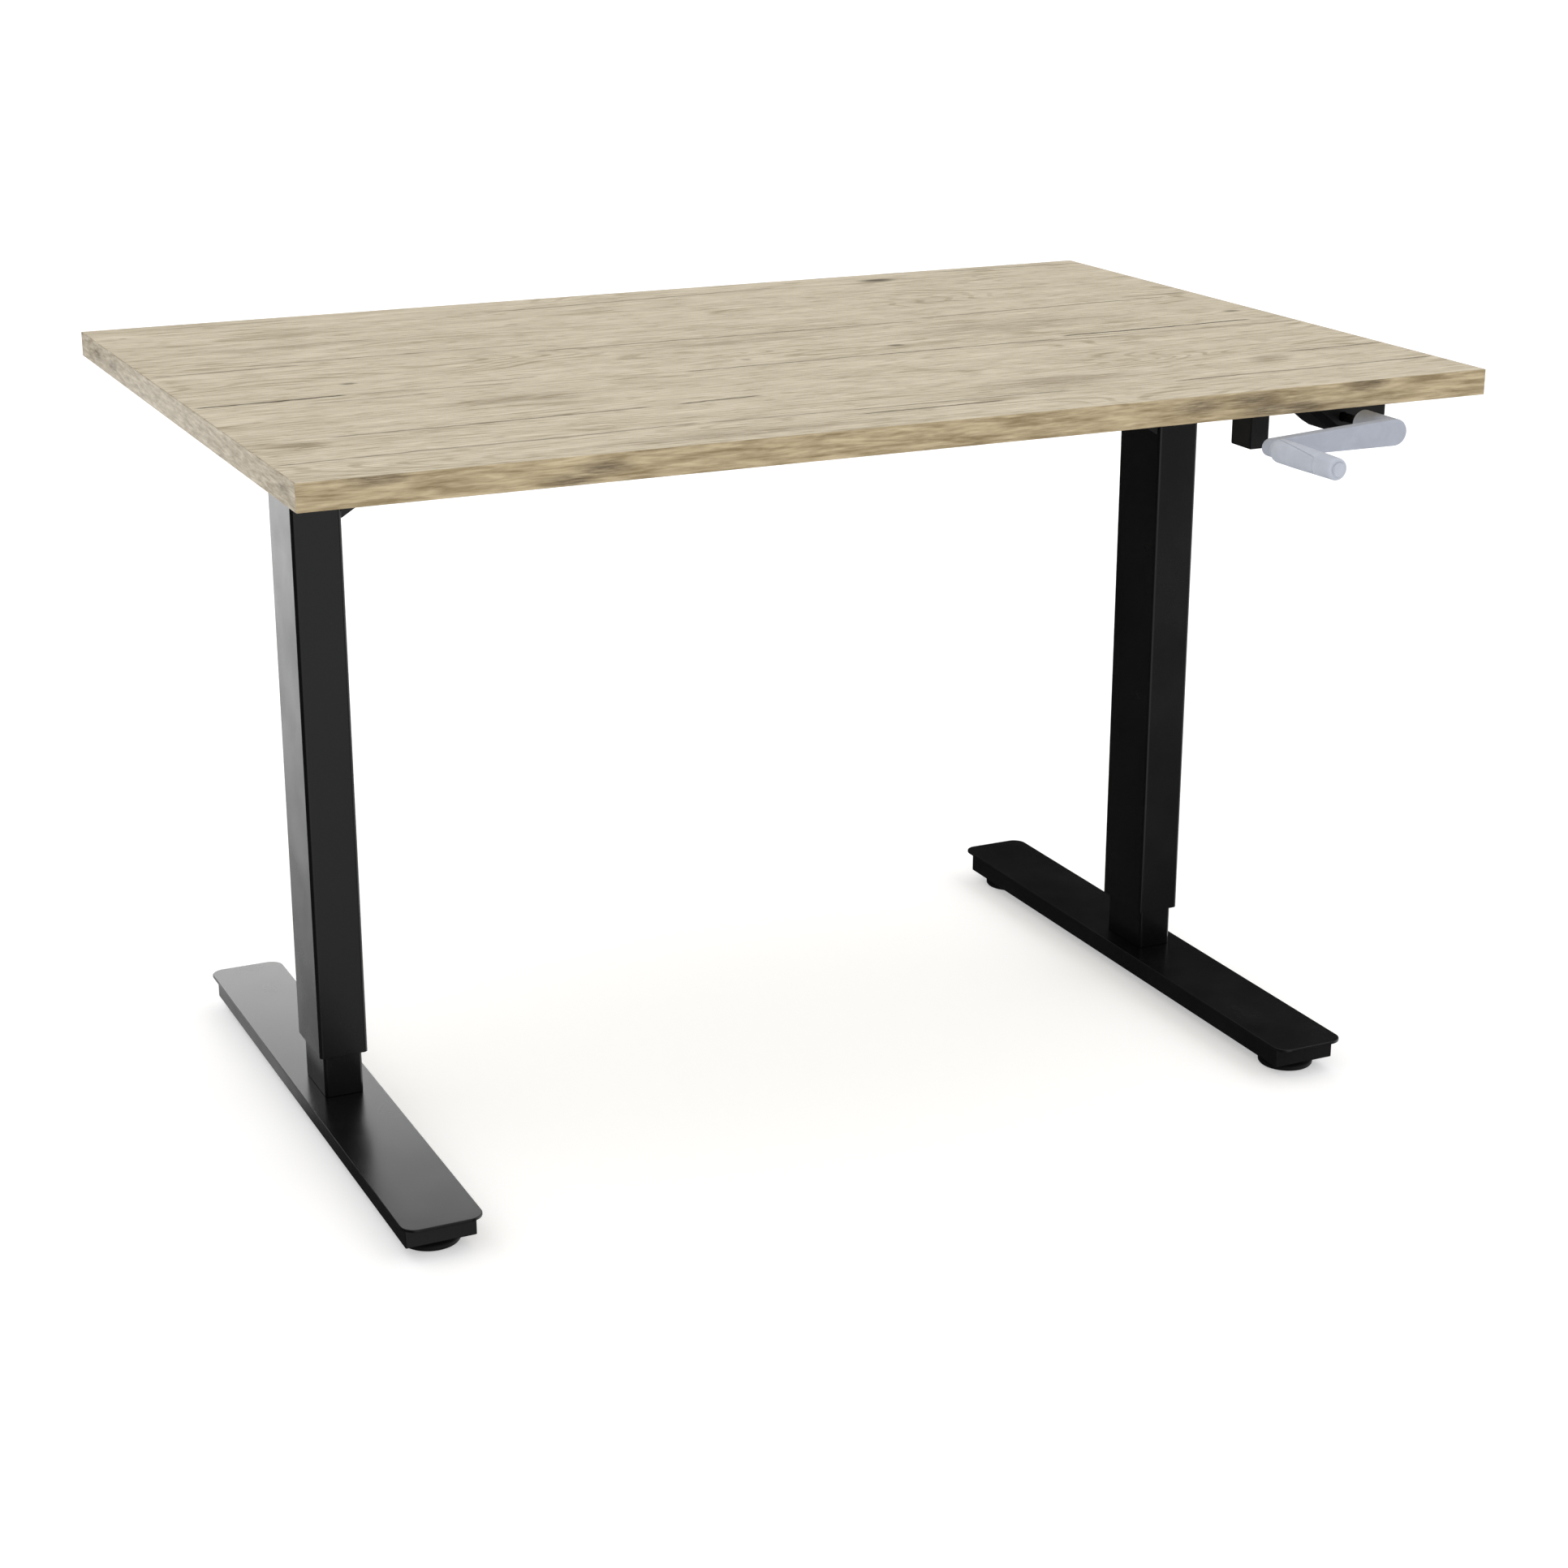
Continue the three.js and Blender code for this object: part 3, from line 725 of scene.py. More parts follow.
# the place along and across the board, half the length and half the height, and the strength
KNOTS = [
    Knot(*row)
    for row in (
        *((315, 357, 22, 10, 1.0), (-432, 0, 9, 5, 0.7), (138, -35, 9, 6, 0.7)),
        *((-35, -45, 6, 4, 0.5), (568, 0, 10, 5, 0.7), (-570, 338, 4, 3, 0.4)),
        *((432, 336, 5, 3, 0.35), (-175, 250, 8, 4, 0.35)),
    )
]
SMUDGES = [
    Knot(*row)
    for row in (
        *((-310, -140, 70, 18, 0.3), (-555, -255, 25, 14, 0.4), (445, -260, 25, 14, 0.4)),
        *((190, -275, 80, 25, 0.3), (300, 25, 110, 35, 0.22), (-10, 52, 120, 14, 0.2)),
        *((300, 200, 40, 12, 0.2), (-200, -372, 150, 12, 0.3), (-420, 220, 120, 12, 0.15)),
    )
]
# the place along the band and below the desktop's top
FRONT_PLACES = ((-530, -2), (-360, -21), (-330, -12), (270, -10), (330, -8), (345, -18))
FRONT_MARKS = tuple(Knot(x, z, 26, 7, 0.95) for x, z in (*FRONT_PLACES, (385, -20), (460, -3)))
SIDE_MARKS = tuple(Knot(y, -12, 20, 6, 0.6) for y in (325, 255, -365))


class MaskGroups:
    """Node groups that draw one crack or one knot of the printed decor."""

    def __init__(self) -> None:
        """Builds both groups."""
        self.streak = self._streak()
        self.knot = self._knot()

    @staticmethod
    def _start(name: str, inputs: Iterable[str]) -> tuple[Tree, Node]:
        """Makes a group with one mask output.

        Args:
            name: the group's name.
            inputs: the names of its number inputs.

        Returns:
            The group's tree and its input node.
        """
        tree = bpy.data.node_groups.new(name, "ShaderNodeTree")
        for label in inputs:
            tree.interface.new_socket(label, in_out="INPUT", socket_type="NodeSocketFloat")
        tree.interface.new_socket("Mask", in_out="OUTPUT", socket_type="NodeSocketFloat")
        return tree, tree.nodes.new("NodeGroupInput")

    def _streak(self) -> Tree:
        """Draws a thin line that is soft at its sides and its ends.

        Returns:
            The group's tree.
        """
        names = ("X", "Y", "Start", "End", "First", "Last", "Width", "Strength")
        tree, given = self._start("Decor crack", names)
        out = given.outputs
        soft = 14.0  # how far each end fades
        line = remap(tree, out["X"], (out["Start"], out["End"]), (out["First"], out["Last"]))
        away = math_node(tree, "ABSOLUTE", math_node(tree, "SUBTRACT", out["Y"], line))
        across = remap(tree, away, (0.0, out["Width"]), (1, 0), smooth=True)
        begun = math_node(tree, "ADD", out["Start"], soft)
        start = remap(tree, out["X"], (out["Start"], begun), (0, 1), smooth=True)
        ending = math_node(tree, "SUBTRACT", out["End"], soft)
        end = remap(tree, out["X"], (ending, out["End"]), (1, 0), smooth=True)
        shape = math_node(tree, "MULTIPLY", across, math_node(tree, "MULTIPLY", start, end))
        mask = math_node(tree, "MULTIPLY", shape, out["Strength"])
        add_node(tree, "NodeGroupOutput", inputs={"Mask": mask})
        return tree

    def _knot(self) -> Tree:
        """Draws a soft oval.

        Returns:
            The group's tree.
        """
        names = ("X", "Y", "Centre X", "Centre Y", "Reach", "Height", "Strength")
        tree, given = self._start("Decor knot", names)
        out = given.outputs
        place = {}
        for letter, size in (("X", "Reach"), ("Y", "Height")):
            away = math_node(tree, "SUBTRACT", out[letter], out[f"Centre {letter}"])
            place[letter] = math_node(tree, "DIVIDE", away, out[size])
        vector = add_node(tree, "ShaderNodeCombineXYZ", inputs=place).outputs[0]
        length = {"operation": "LENGTH"}
        away = add_node(tree, "ShaderNodeVectorMath", length, {0: vector}).outputs["Value"]
        oval = remap(tree, away, (0.25, 1.25), (1, 0), smooth=True)
        mask = math_node(tree, "MULTIPLY", oval, out["Strength"])
        add_node(tree, "NodeGroupOutput", inputs={"Mask": mask})
        return tree

    def strongest(
        self, tree: Tree, place: tuple[Socket, Socket], marks: Iterable[Streak | Knot]
    ) -> Socket:
        """Draws several marks.

        Args:
            tree: the material's tree.
            place: the place along and across.
            marks: the cracks or knots.

        Returns:
            The strongest of their masks.
        """
        top = None
        for mark in marks:
            group = self.streak if isinstance(mark, Streak) else self.knot
            inputs = dict(enumerate((*place, *mark.values())))
            mask = add_node(tree, "ShaderNodeGroup", {"node_tree": group}, inputs).outputs[0]
            top = mask if top is None else math_node(tree, "MAXIMUM", top, mask)
        return top


@dataclass(frozen=True)
class BoardDecor(Finish):
    """Melamine-faced chipboard with a printed rustic beech decor."""

    dark: str = "a5977c"
    light: str = "e2d6be"
    crack: str = "3d3226"
    knot: str = "4b4033"
    smudge: str = "857559"

    def dress(self, tree: Tree, shader: Node) -> None:
        """Adds grain lines, plank tones, flame lines, cracks and knots.

        Args:
            tree: the material's tree.
            shader: its surface shader.
        """
        groups = MaskGroups()
        split = add_node(tree, "ShaderNodeSeparateXYZ", inputs={0: millimetre_space(tree)})
        drift = noise(tree, (0.006, 0.02, 0), 3, 0.6)
        ripple = noise(tree, (0.06, 0.03, 0), 2, 0.5)
        wander = math_node(tree, "MULTIPLY", remap(tree, drift, (0.2, 0.8), (-7, 7)), 0.35)
        bent = math_node(tree, "ADD", split.outputs["Y"], wander)
        bent = math_node(tree, "ADD", bent, remap(tree, ripple, (0.2, 0.8), (-1.2, 1.2)))
        place = (split.outputs["X"], bent)
        # grain lines 2 to 3 mm apart, coarser than the print's finest ones so that they show
        fine = noise(tree, (0.018, 0.38, 0.3), 6, 0.78, 0.1)
        broad = noise(tree, (0.0028, 0.045, 0.02), 3, 0.6)
        pores = noise(tree, (0.035, 0.21, 0.2), 2, 0.5)
        dots = remap(tree, pores, (0.56, 0.68), (0, 1), smooth=True)
        tone = math_node(tree, "MULTIPLY_ADD", fine, 0.9, math_node(tree, "MULTIPLY", broad, 0.2))
        tone = math_node(tree, "MULTIPLY_ADD", self._flames(tree), -0.13, tone)
        tone = math_node(tree, "MULTIPLY_ADD", dots, -0.1, tone)
        wood = self.between(tree, tone, (0.34, 0.65), (self.dark, self.light))
        smudges = groups.strongest(tree, place, SMUDGES)
        patchy = math_node(tree, "MULTIPLY", smudges, remap(tree, fine, (0.3, 0.65), (2.2, 0.3)))
        wood = blended(tree, patchy, wood, linear(self.smudge))
        broken = remap(tree, noise(tree, (0.05, 0.2, 0), 3, 0.6), (0.3, 0.5), (0.45, 1))
        cracks = math_node(tree, "MULTIPLY", groups.strongest(tree, place, CRACKS), broken)
        wood = blended(tree, cracks, wood, linear(self.crack))
        knots = math_node(tree, "MULTIPLY", groups.strongest(tree, place, KNOTS), 0.85)
        wood = blended(tree, knots, wood, linear(self.knot))
        self.surface(shader, wood, fine, tone, Relief(0.05, 0.05, 0.00006, 0.12))

    @staticmethod
    def _flames(tree: Tree) -> Socket:
        """Draws the contour lines of slow growth, strong only in patches.

        Args:
            tree: the material's tree.

        Returns:
            The lines' mask.
        """
        growth = noise(tree, (0.0022, 0.013, 0.01), 1, 0.4, 0.3)
        rings = math_node(tree, "SINE", math_node(tree, "MULTIPLY", growth, 150.0))
        lines = remap(tree, rings, (0.35, 0.95), (0, 1), smooth=True)
        patch = remap(tree, noise(tree, (0.004, 0.012, 0), 2, 0.5), (0.45, 0.62), (0, 1))
        return math_node(tree, "MULTIPLY", lines, patch)


@dataclass(frozen=True)
class BandDecor(Finish):
    """ABS edge band printed to go with the board."""

    # the front band's tones by default: partly the band's own colour and partly painted shade of
    # the front face
    dark: str = "8b7855"
    light: str = "c8b693"
    mark: str = "5a4c38"
    along: Axis = Axis.X
    marks: tuple[Knot, ...] = ()

    def dress(self, tree: Tree, shader: Node) -> None:
        """Adds a blurry grain along the band, and a few darker marks.

        Args:
            tree: the material's tree.
            shader: its surface shader.
        """
        runs_x = self.along is Axis.X
        coarse = noise(tree, (0.018, 0.2, 0.2) if runs_x else (0.2, 0.035, 0.25), 4, 0.55, 0.3)
        fine = noise(tree, (0.05, 0.5, 0.7) if runs_x else (0.5, 0.08, 0.7), 4, 0.6)
        tone = math_node(tree, "MULTIPLY_ADD", coarse, 0.7, math_node(tree, "MULTIPLY", fine, 0.3))
        colour = self.between(tree, tone, (0.38, 0.62), (self.dark, self.light))
        split = add_node(tree, "ShaderNodeSeparateXYZ", inputs={0: millimetre_space(tree)})
        below = math_node(tree, "SUBTRACT", split.outputs["Z"], DESK_TOP)
        place = (split.outputs[self.along.name], below)
        marks = MaskGroups().strongest(tree, place, self.marks)
        marks = math_node(tree, "MULTIPLY", marks, remap(tree, fine, (0.3, 0.6), (1, 0.4)))
        colour = blended(tree, marks, colour, linear(self.mark))
        self.surface(shader, colour, coarse, fine, Relief(0.05, 0.05, 0.00005, 0.15))


# a matt, pale beige top with low-contrast grain along it, darker cracks and a few knots
BOARD = BoardDecor("Melamine board, rustic beech print", "c7bba6", 0.5)
# darker and browner than the board, with soft smears along it and dark marks near its ends; the
# browner hue is the band's own, and its darkness is partly the band's own and partly painted shade
# of the front face
FRONT_BAND_WITH_PAINTED_SHADE = BandDecor("ABS edge band, front, partly painted shade", "af9f85", 0.45, marks=FRONT_MARKS)
# nearly as pale as the board
SIDE_BAND = BandDecor(
    *("ABS edge band, side", "b5a893", 0.45),
    dark="9a8b71",
    light="cfc4b0",
    along=Axis.Y,
    marks=SIDE_MARKS,
)
# nearly black, but with soft mirrored light, so that a lit face turns an even grey
COAT = PowderCoat("Black powder coat on steel", "080809", 0.23, ior=1.45)
# a dull, pale blue grey, the same from every side
GREY_NYLON = Moulded("Glass-filled nylon, blue grey", "a1a6b2", 0.42, light="acb1bd", grain_mm=0.6)
# a little paler than the arm: painted light, for the stronger light from above on the grip's top
GRIP_NYLON_PAINTED_LIGHT = Moulded("Moulded nylon grip, blue grey, painted lighter", "b3b8c3", 0.4, light="bdc2cd", grain_mm=0.6)
# a dull black without clear reflections
BLACK_NYLON = Moulded("Moulded black nylon", "070708", 0.42, ior=1.4, light="0b0b0c")
# a waxy black ring between the tubes
GLIDE_NYLON = Moulded("Moulded black acetal", "121213", 0.38, light="1a1a1b")
# flat black, with almost no highlight
RUBBER = Moulded("Moulded rubber", "070707", 0.7, ior=1.4, light="0b0b0b", grain_mm=0.9)
# pale cool grey with a cloudy shine
ZINC = Metal("Zinc-plated steel", "a7aaaf", 0.34, metallic=1.0, light="c3c5c9")
# a dark grey gleam
BLACK_OXIDE = Metal("Blackened steel", "1b1b1c", 0.5, metallic=1.0, light="242425")
# mid grey with fine rolling marks round the screw
SCREW_STEEL = Metal("Rolled screw steel", "8d8f93", 0.36, metallic=1.0, marks=(1.2, 1.2, 7.2))
# warm yellow
BRASS = Metal("Machined brass", "b08d4a", 0.35, metallic=1.0, light="c9a55c")
# a dull, slightly rough grey
DIE_CAST = Metal("Die-cast aluminium", "8a8c8f", 0.5, metallic=1.0, light="9c9ea1")


# ---------------------------------------------------------------- pieces on the frame


def fit(obj: Object, body: str, slot: str, finish: Finish, *nodes: str) -> None:
    """Dresses a finished piece and ties it to the frame.

    Args:
        obj: the piece.
        body: the CAD body that it rides on.
        slot: the record's material slot; not used.
        finish: its finish.
        *nodes: the CAD nodes that it stands for.
    """
    obj.data.materials.clear()
    obj.data.materials.append(finish.make())
    for polygon in obj.data.polygons:
        polygon.material_index = 0
    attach(obj, body)
    if nodes:
        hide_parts(*nodes)
    LOG.info("%s: %d faces on %s", obj.name, len(obj.data.polygons), body)


def dress_nodes(finish: Finish, *nodes: str) -> None:
    """Gives CAD nodes that keep their own shape a better finish.

    Args:
        finish: the finish.
        *nodes: the nodes' names.
    """
    for node in nodes:
        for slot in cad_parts[node].material_slots:
            slot.material = finish.make()
        LOG.info("%s: dressed", node)


def softened(name: str, node: str, width: float, segments: int = 3) -> Object:
    """Copies a CAD node and rounds its edges.

    Args:
        name: the copy's name.
        node: the CAD node.
        width: the edge's size.
        segments: faces across each edge.

    Returns:
        The rounded copy.
    """
    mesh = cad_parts[node].data.copy()

    def clean(form: bmesh.types.BMesh) -> None:
        """Joins the loose triangles into flat faces."""
        bmesh.ops.remove_doubles(form, verts=form.verts, dist=2e-6)
        flat = math.radians(0.5)
        bmesh.ops.dissolve_limit(form, angle_limit=flat, verts=form.verts, edges=form.edges)

    reworked(mesh, clean)
    if mesh.has_custom_normals:
        mesh.attributes.remove(mesh.attributes["custom_normal"])

    def bevel(obj: Object) -> None:
        """Adds the rounding."""
        edge = obj.modifiers.new("Rounded edges", "BEVEL")
        edge.width = width * MM
        edge.segments = segments
        edge.limit_method = "ANGLE"
        edge.angle_limit = math.radians(28)
        edge.miter_outer = "MITER_ARC"
        edge.use_clamp_overlap = True

    return settled(name, mesh, bevel)


@dataclass
class DesktopBoard:
    """The desktop: a faced board with an edge band on each side."""

    band: float = 1.0
    band_corner: float = 0.42
    long_edge: float = 0.42
    short_edge: float = 0.1
    joint: float = 0.12

    def build(self) -> None:
        """Makes the board and its four bands."""
        box = box_of("desktop")
        band, low, high = self.band, box.low, box.high
        inside = rounded_box_outline((0, 0), box.size.x - 2 * band, box.size.y - 2 * band, 0.05, 2)
        board = mesh_of("board", *drawn(inside, Axis.Z, low.z, high.z, self.joint))
        fit(settled("board", board), "lifting_frame", "laminate_board", BOARD, "desktop")
        for name, y in (("front", low.y + band / 2), ("back", high.y - band / 2)):
            self._band(name, y, Axis.X, (low.x, high.x), self.long_edge, FRONT_BAND_WITH_PAINTED_SHADE)
        for name, x in (("left", low.x + band / 2), ("right", high.x - band / 2)):
            self._band(name, x, Axis.Y, (low.y + band, high.y - band), self.short_edge, SIDE_BAND)

    def _band(
        self, name: str, across: float, axis: Axis, ends: Flat, edge: float, finish: Finish
    ) -> None:
        """Makes one edge band.

        Args:
            name: the side that it is on.
            across: its middle's place across its own direction.
            axis: the direction that it runs in.
            ends: where it starts and ends.
            edge: the radius of its end edges.
            finish: its finish.
        """
        box = box_of("desktop")
        centre = (across, box.middle.z)
        outline = rounded_box_outline(centre, self.band, box.size.z, self.band_corner, 5)
        strip = mesh_of(name, *drawn(outline, axis, *ends, edge))
        piece = settled(f"{name}_edge_band", strip)
        fit(piece, "lifting_frame", "laminate_board", finish)


@dataclass
class Column:
    """One telescopic column: outer tube, inner tube and what is inside them."""

    side: Side
    wall: float = 1.5
    inner_wall: float = 2.0
    corner: float = 4.0
    rim: float = 0.4
    bore_gap: float = 0.3
    bore_reach: float = 8.0

    def build(self) -> None:
        """Makes both tubes and dresses what is inside them."""
        label = self.side.label
        bores = [self._bore(f"{label}_shaft_bush", Axis.X)]
        if self.side is Side.RIGHT:
            bores.append(self._bore("crank_bush", Axis.Y))
        self._tube(f"{label}_outer_tube", "lifting_frame", self.wall, bores)
        self._tube(f"{label}_inner_tube", f"{label}_leg", self.inner_wall, [])
        dress_nodes(GLIDE_NYLON, f"{label}_lower_glide", f"{label}_upper_glide")
        dress_nodes(DIE_CAST, f"{label}_gear_housing", f"{label}_housing_lid")
        dress_nodes(ZINC, f"{label}_screw_bearing")
        dress_nodes(BRASS, f"{label}_shaft_bush", f"{label}_lift_nut")
        dress_nodes(SCREW_STEEL, f"{label}_lead_screw")

    def _tube(self, node: str, body: str, wall: float, bores: Sequence[Solid]) -> None:
        """Makes one smooth tube in a CAD tube's place.

        Args:
            node: the CAD tube.
            body: the body that it rides on.
            wall: its wall's thickness.
            bores: the solids that are cut from it.
        """
        box = box_of(node)
        centre, size = (box.middle.x, box.middle.y), (box.size.x, box.size.y)
        outside = rounded_box_outline(centre, *size, self.corner)
        inner_corner = max(self.corner - wall, 0.5)
        inside = rounded_box_outline(centre, size[0] - 2 * wall, size[1] - 2 * wall, inner_corner)
        low, high = box.low.z, box.high.z
        loops = [(outside, *loop) for loop in rounded_loops(low, high, edge_steps(self.rim, 3))]
        loops += [(inside, 0.0, high), (inside, 0.0, low)]
        points = [(x, y, z) for outline, inset, z in loops for x, y in outline(inset)]
        columns = len(outside(0))
        last = (len(loops) - 1) * columns
        faces = ring_faces(len(loops), columns)[:-2]
        for i in range(columns):
            after = (i + 1) % columns
            faces.append([last + i, last + after, after, i])
        cutters = [link_object(f"{node}_bore", mesh_of("bore", *solid)) for solid in bores]

        def bore(obj: Object) -> None:
            """Cuts the bores."""
            for cutter in cutters:
                cut = obj.modifiers.new("Bore", "BOOLEAN")
                cut.object = cutter
                cut.solver = "EXACT"

        piece = settled(f"{node}_piece", mesh_of(node, points, faces), bore)
        fit(piece, body, "black_powder_coat", COAT, node)
        for cutter in cutters:
            bpy.data.objects.remove(cutter)

    def _bore(self, bush: str, axis: Axis) -> Solid:
        """Shapes the bore through the tube's wall at a bush.

        Args:
            bush: the bush's CAD node.
            axis: the direction of the bore.

        Returns:
            The bore's solid.
        """
        box = box_of(bush)
        middle = box.middle
        along = middle.x if axis is Axis.X else middle.y
        centre = (0.0, middle.y, middle.z) if axis is Axis.X else (middle.x, 0.0, middle.z)
        radius = box.size.z / 2 + self.bore_gap
        ends = (along - self.bore_reach, along + self.bore_reach)
        return turned([(radius, end) for end in ends], axis, centre, 48)


# how far in from its widest each point of a pad lies, and how high
PAD_RIM = (
    *((9.0, 0.6), (8.4, 0.0), (2.4, 0.0), (1.0, 0.5), (0.2, 1.6), (0.0, 2.6)),
    *((0.0, 4.2), (0.3, 5.0), (1.2, 5.9), (3.6, 7.4), (4.6, 7.8), (6.0, 8.0)),
)
# the radius and height of each point of a pad's neck and of a stud with its nut
PAD_NECK = ((9.0, 8.0), (8.6, 7.7), (4.3, 7.7), (4.3, 4.0))
STUD = (
    *((3.6, 4.3), (4.0, 4.7), (4.0, 8.3), (6.9, 8.3), (7.2, 8.6), (7.2, 9.6)),
    *((6.8, 10.0), (3.55, 10.0), (3.55, 28.0), (3.1, 28.5)),
)


@dataclass
class Foot:
    """One foot: its plate, its channel, and a levelling pad at each end."""

    side: Side
    corner: float = 15.0
    edge: float = 0.7
    beam_edge: float = 0.8

    def build(self) -> None:
        """Makes the plate, the channel and both levellers."""
        label = self.side.label
        body = f"{label}_leg"
        node = f"{label}_foot_plate"
        box = box_of(node)
        centre = (box.middle.x, box.middle.y)
        outline = rounded_box_outline(centre, box.size.x, box.size.y, self.corner, 16)
        plate = mesh_of("plate", *drawn(outline, Axis.Z, box.low.z, box.high.z, self.edge))
        fit(settled(f"{node}_piece", plate), body, "black_powder_coat", COAT, node)
        node = f"{label}_foot_beam"
        fit(softened(f"{node}_piece", node, self.beam_edge), body, "black_powder_coat", COAT, node)
        for end in ("front", "back"):
            self._leveller(f"{end}_{label}")

    def _leveller(self, name: str) -> None:
        """Makes one pad and its stud.

        Args:
            name: the foot's end and side.
        """
        box = box_of(f"{name}_pad")
        centre = (box.middle.x, box.middle.y, 0.0)
        profile = [(box.size.x / 2 - inset, z) for inset, z in PAD_RIM] + list(PAD_NECK)
        pad = settled(f"{name}_pad_piece", mesh_of("pad", *turned(profile, Axis.Z, centre)))
        fit(pad, f"{name}_foot", "foot_rubber", RUBBER, f"{name}_pad")
        stud = settled(f"{name}_stud_piece", mesh_of("stud", *turned(STUD, Axis.Z, centre, 48)))
        fit(stud, f"{name}_foot", "zinc_steel", ZINC, f"{name}_stud")
        dress_nodes(ZINC, f"{name}_weld_nut")


@dataclass
class UnderFrame:
    """The cross rails and side brackets of folded sheet under the desktop."""

    fold: float = 0.9

    def build(self) -> None:
        """Rounds the folds and cut edges of each piece."""
        for node in ("front_rail", "back_rail", "left_side_bracket", "right_side_bracket"):
            piece = softened(f"{node}_piece", node, self.fold)
            fit(piece, "lifting_frame", "black_powder_coat", COAT, node)


# the distance from the arm and the radius of each point of the grip's profile
GRIP_PROFILE = (
    *((0.3, 7.7), (0.7, 8.5), (5.0, 8.5), (5.6, 8.8), (6.0, 10.3), (6.5, 10.9)),
    *((7.6, 11.3), (9.0, 11.5), (34.0, 11.5), (96.8, 10.45), (98.4, 10.0), (99.4, 9.0)),
    *((99.8, 8.2), (99.9, 6.6), (102.2, 6.5), (102.8, 6.2), (103.0, 5.7)),
)
# where the grip's loops lie at its two ends
GRIP_NEAR = (0.3, 0.5, 0.7, 5.0, 5.3, 5.6, 5.8, 6.0, 6.2, 6.5, 7.0, 7.6, 8.3, 9.0)
GRIP_FAR = (96.8, 97.6, 98.4, 98.9, 99.4, 99.6, 99.8, 99.85, 99.9, 102.2, 102.5, 102.8, 103.0)


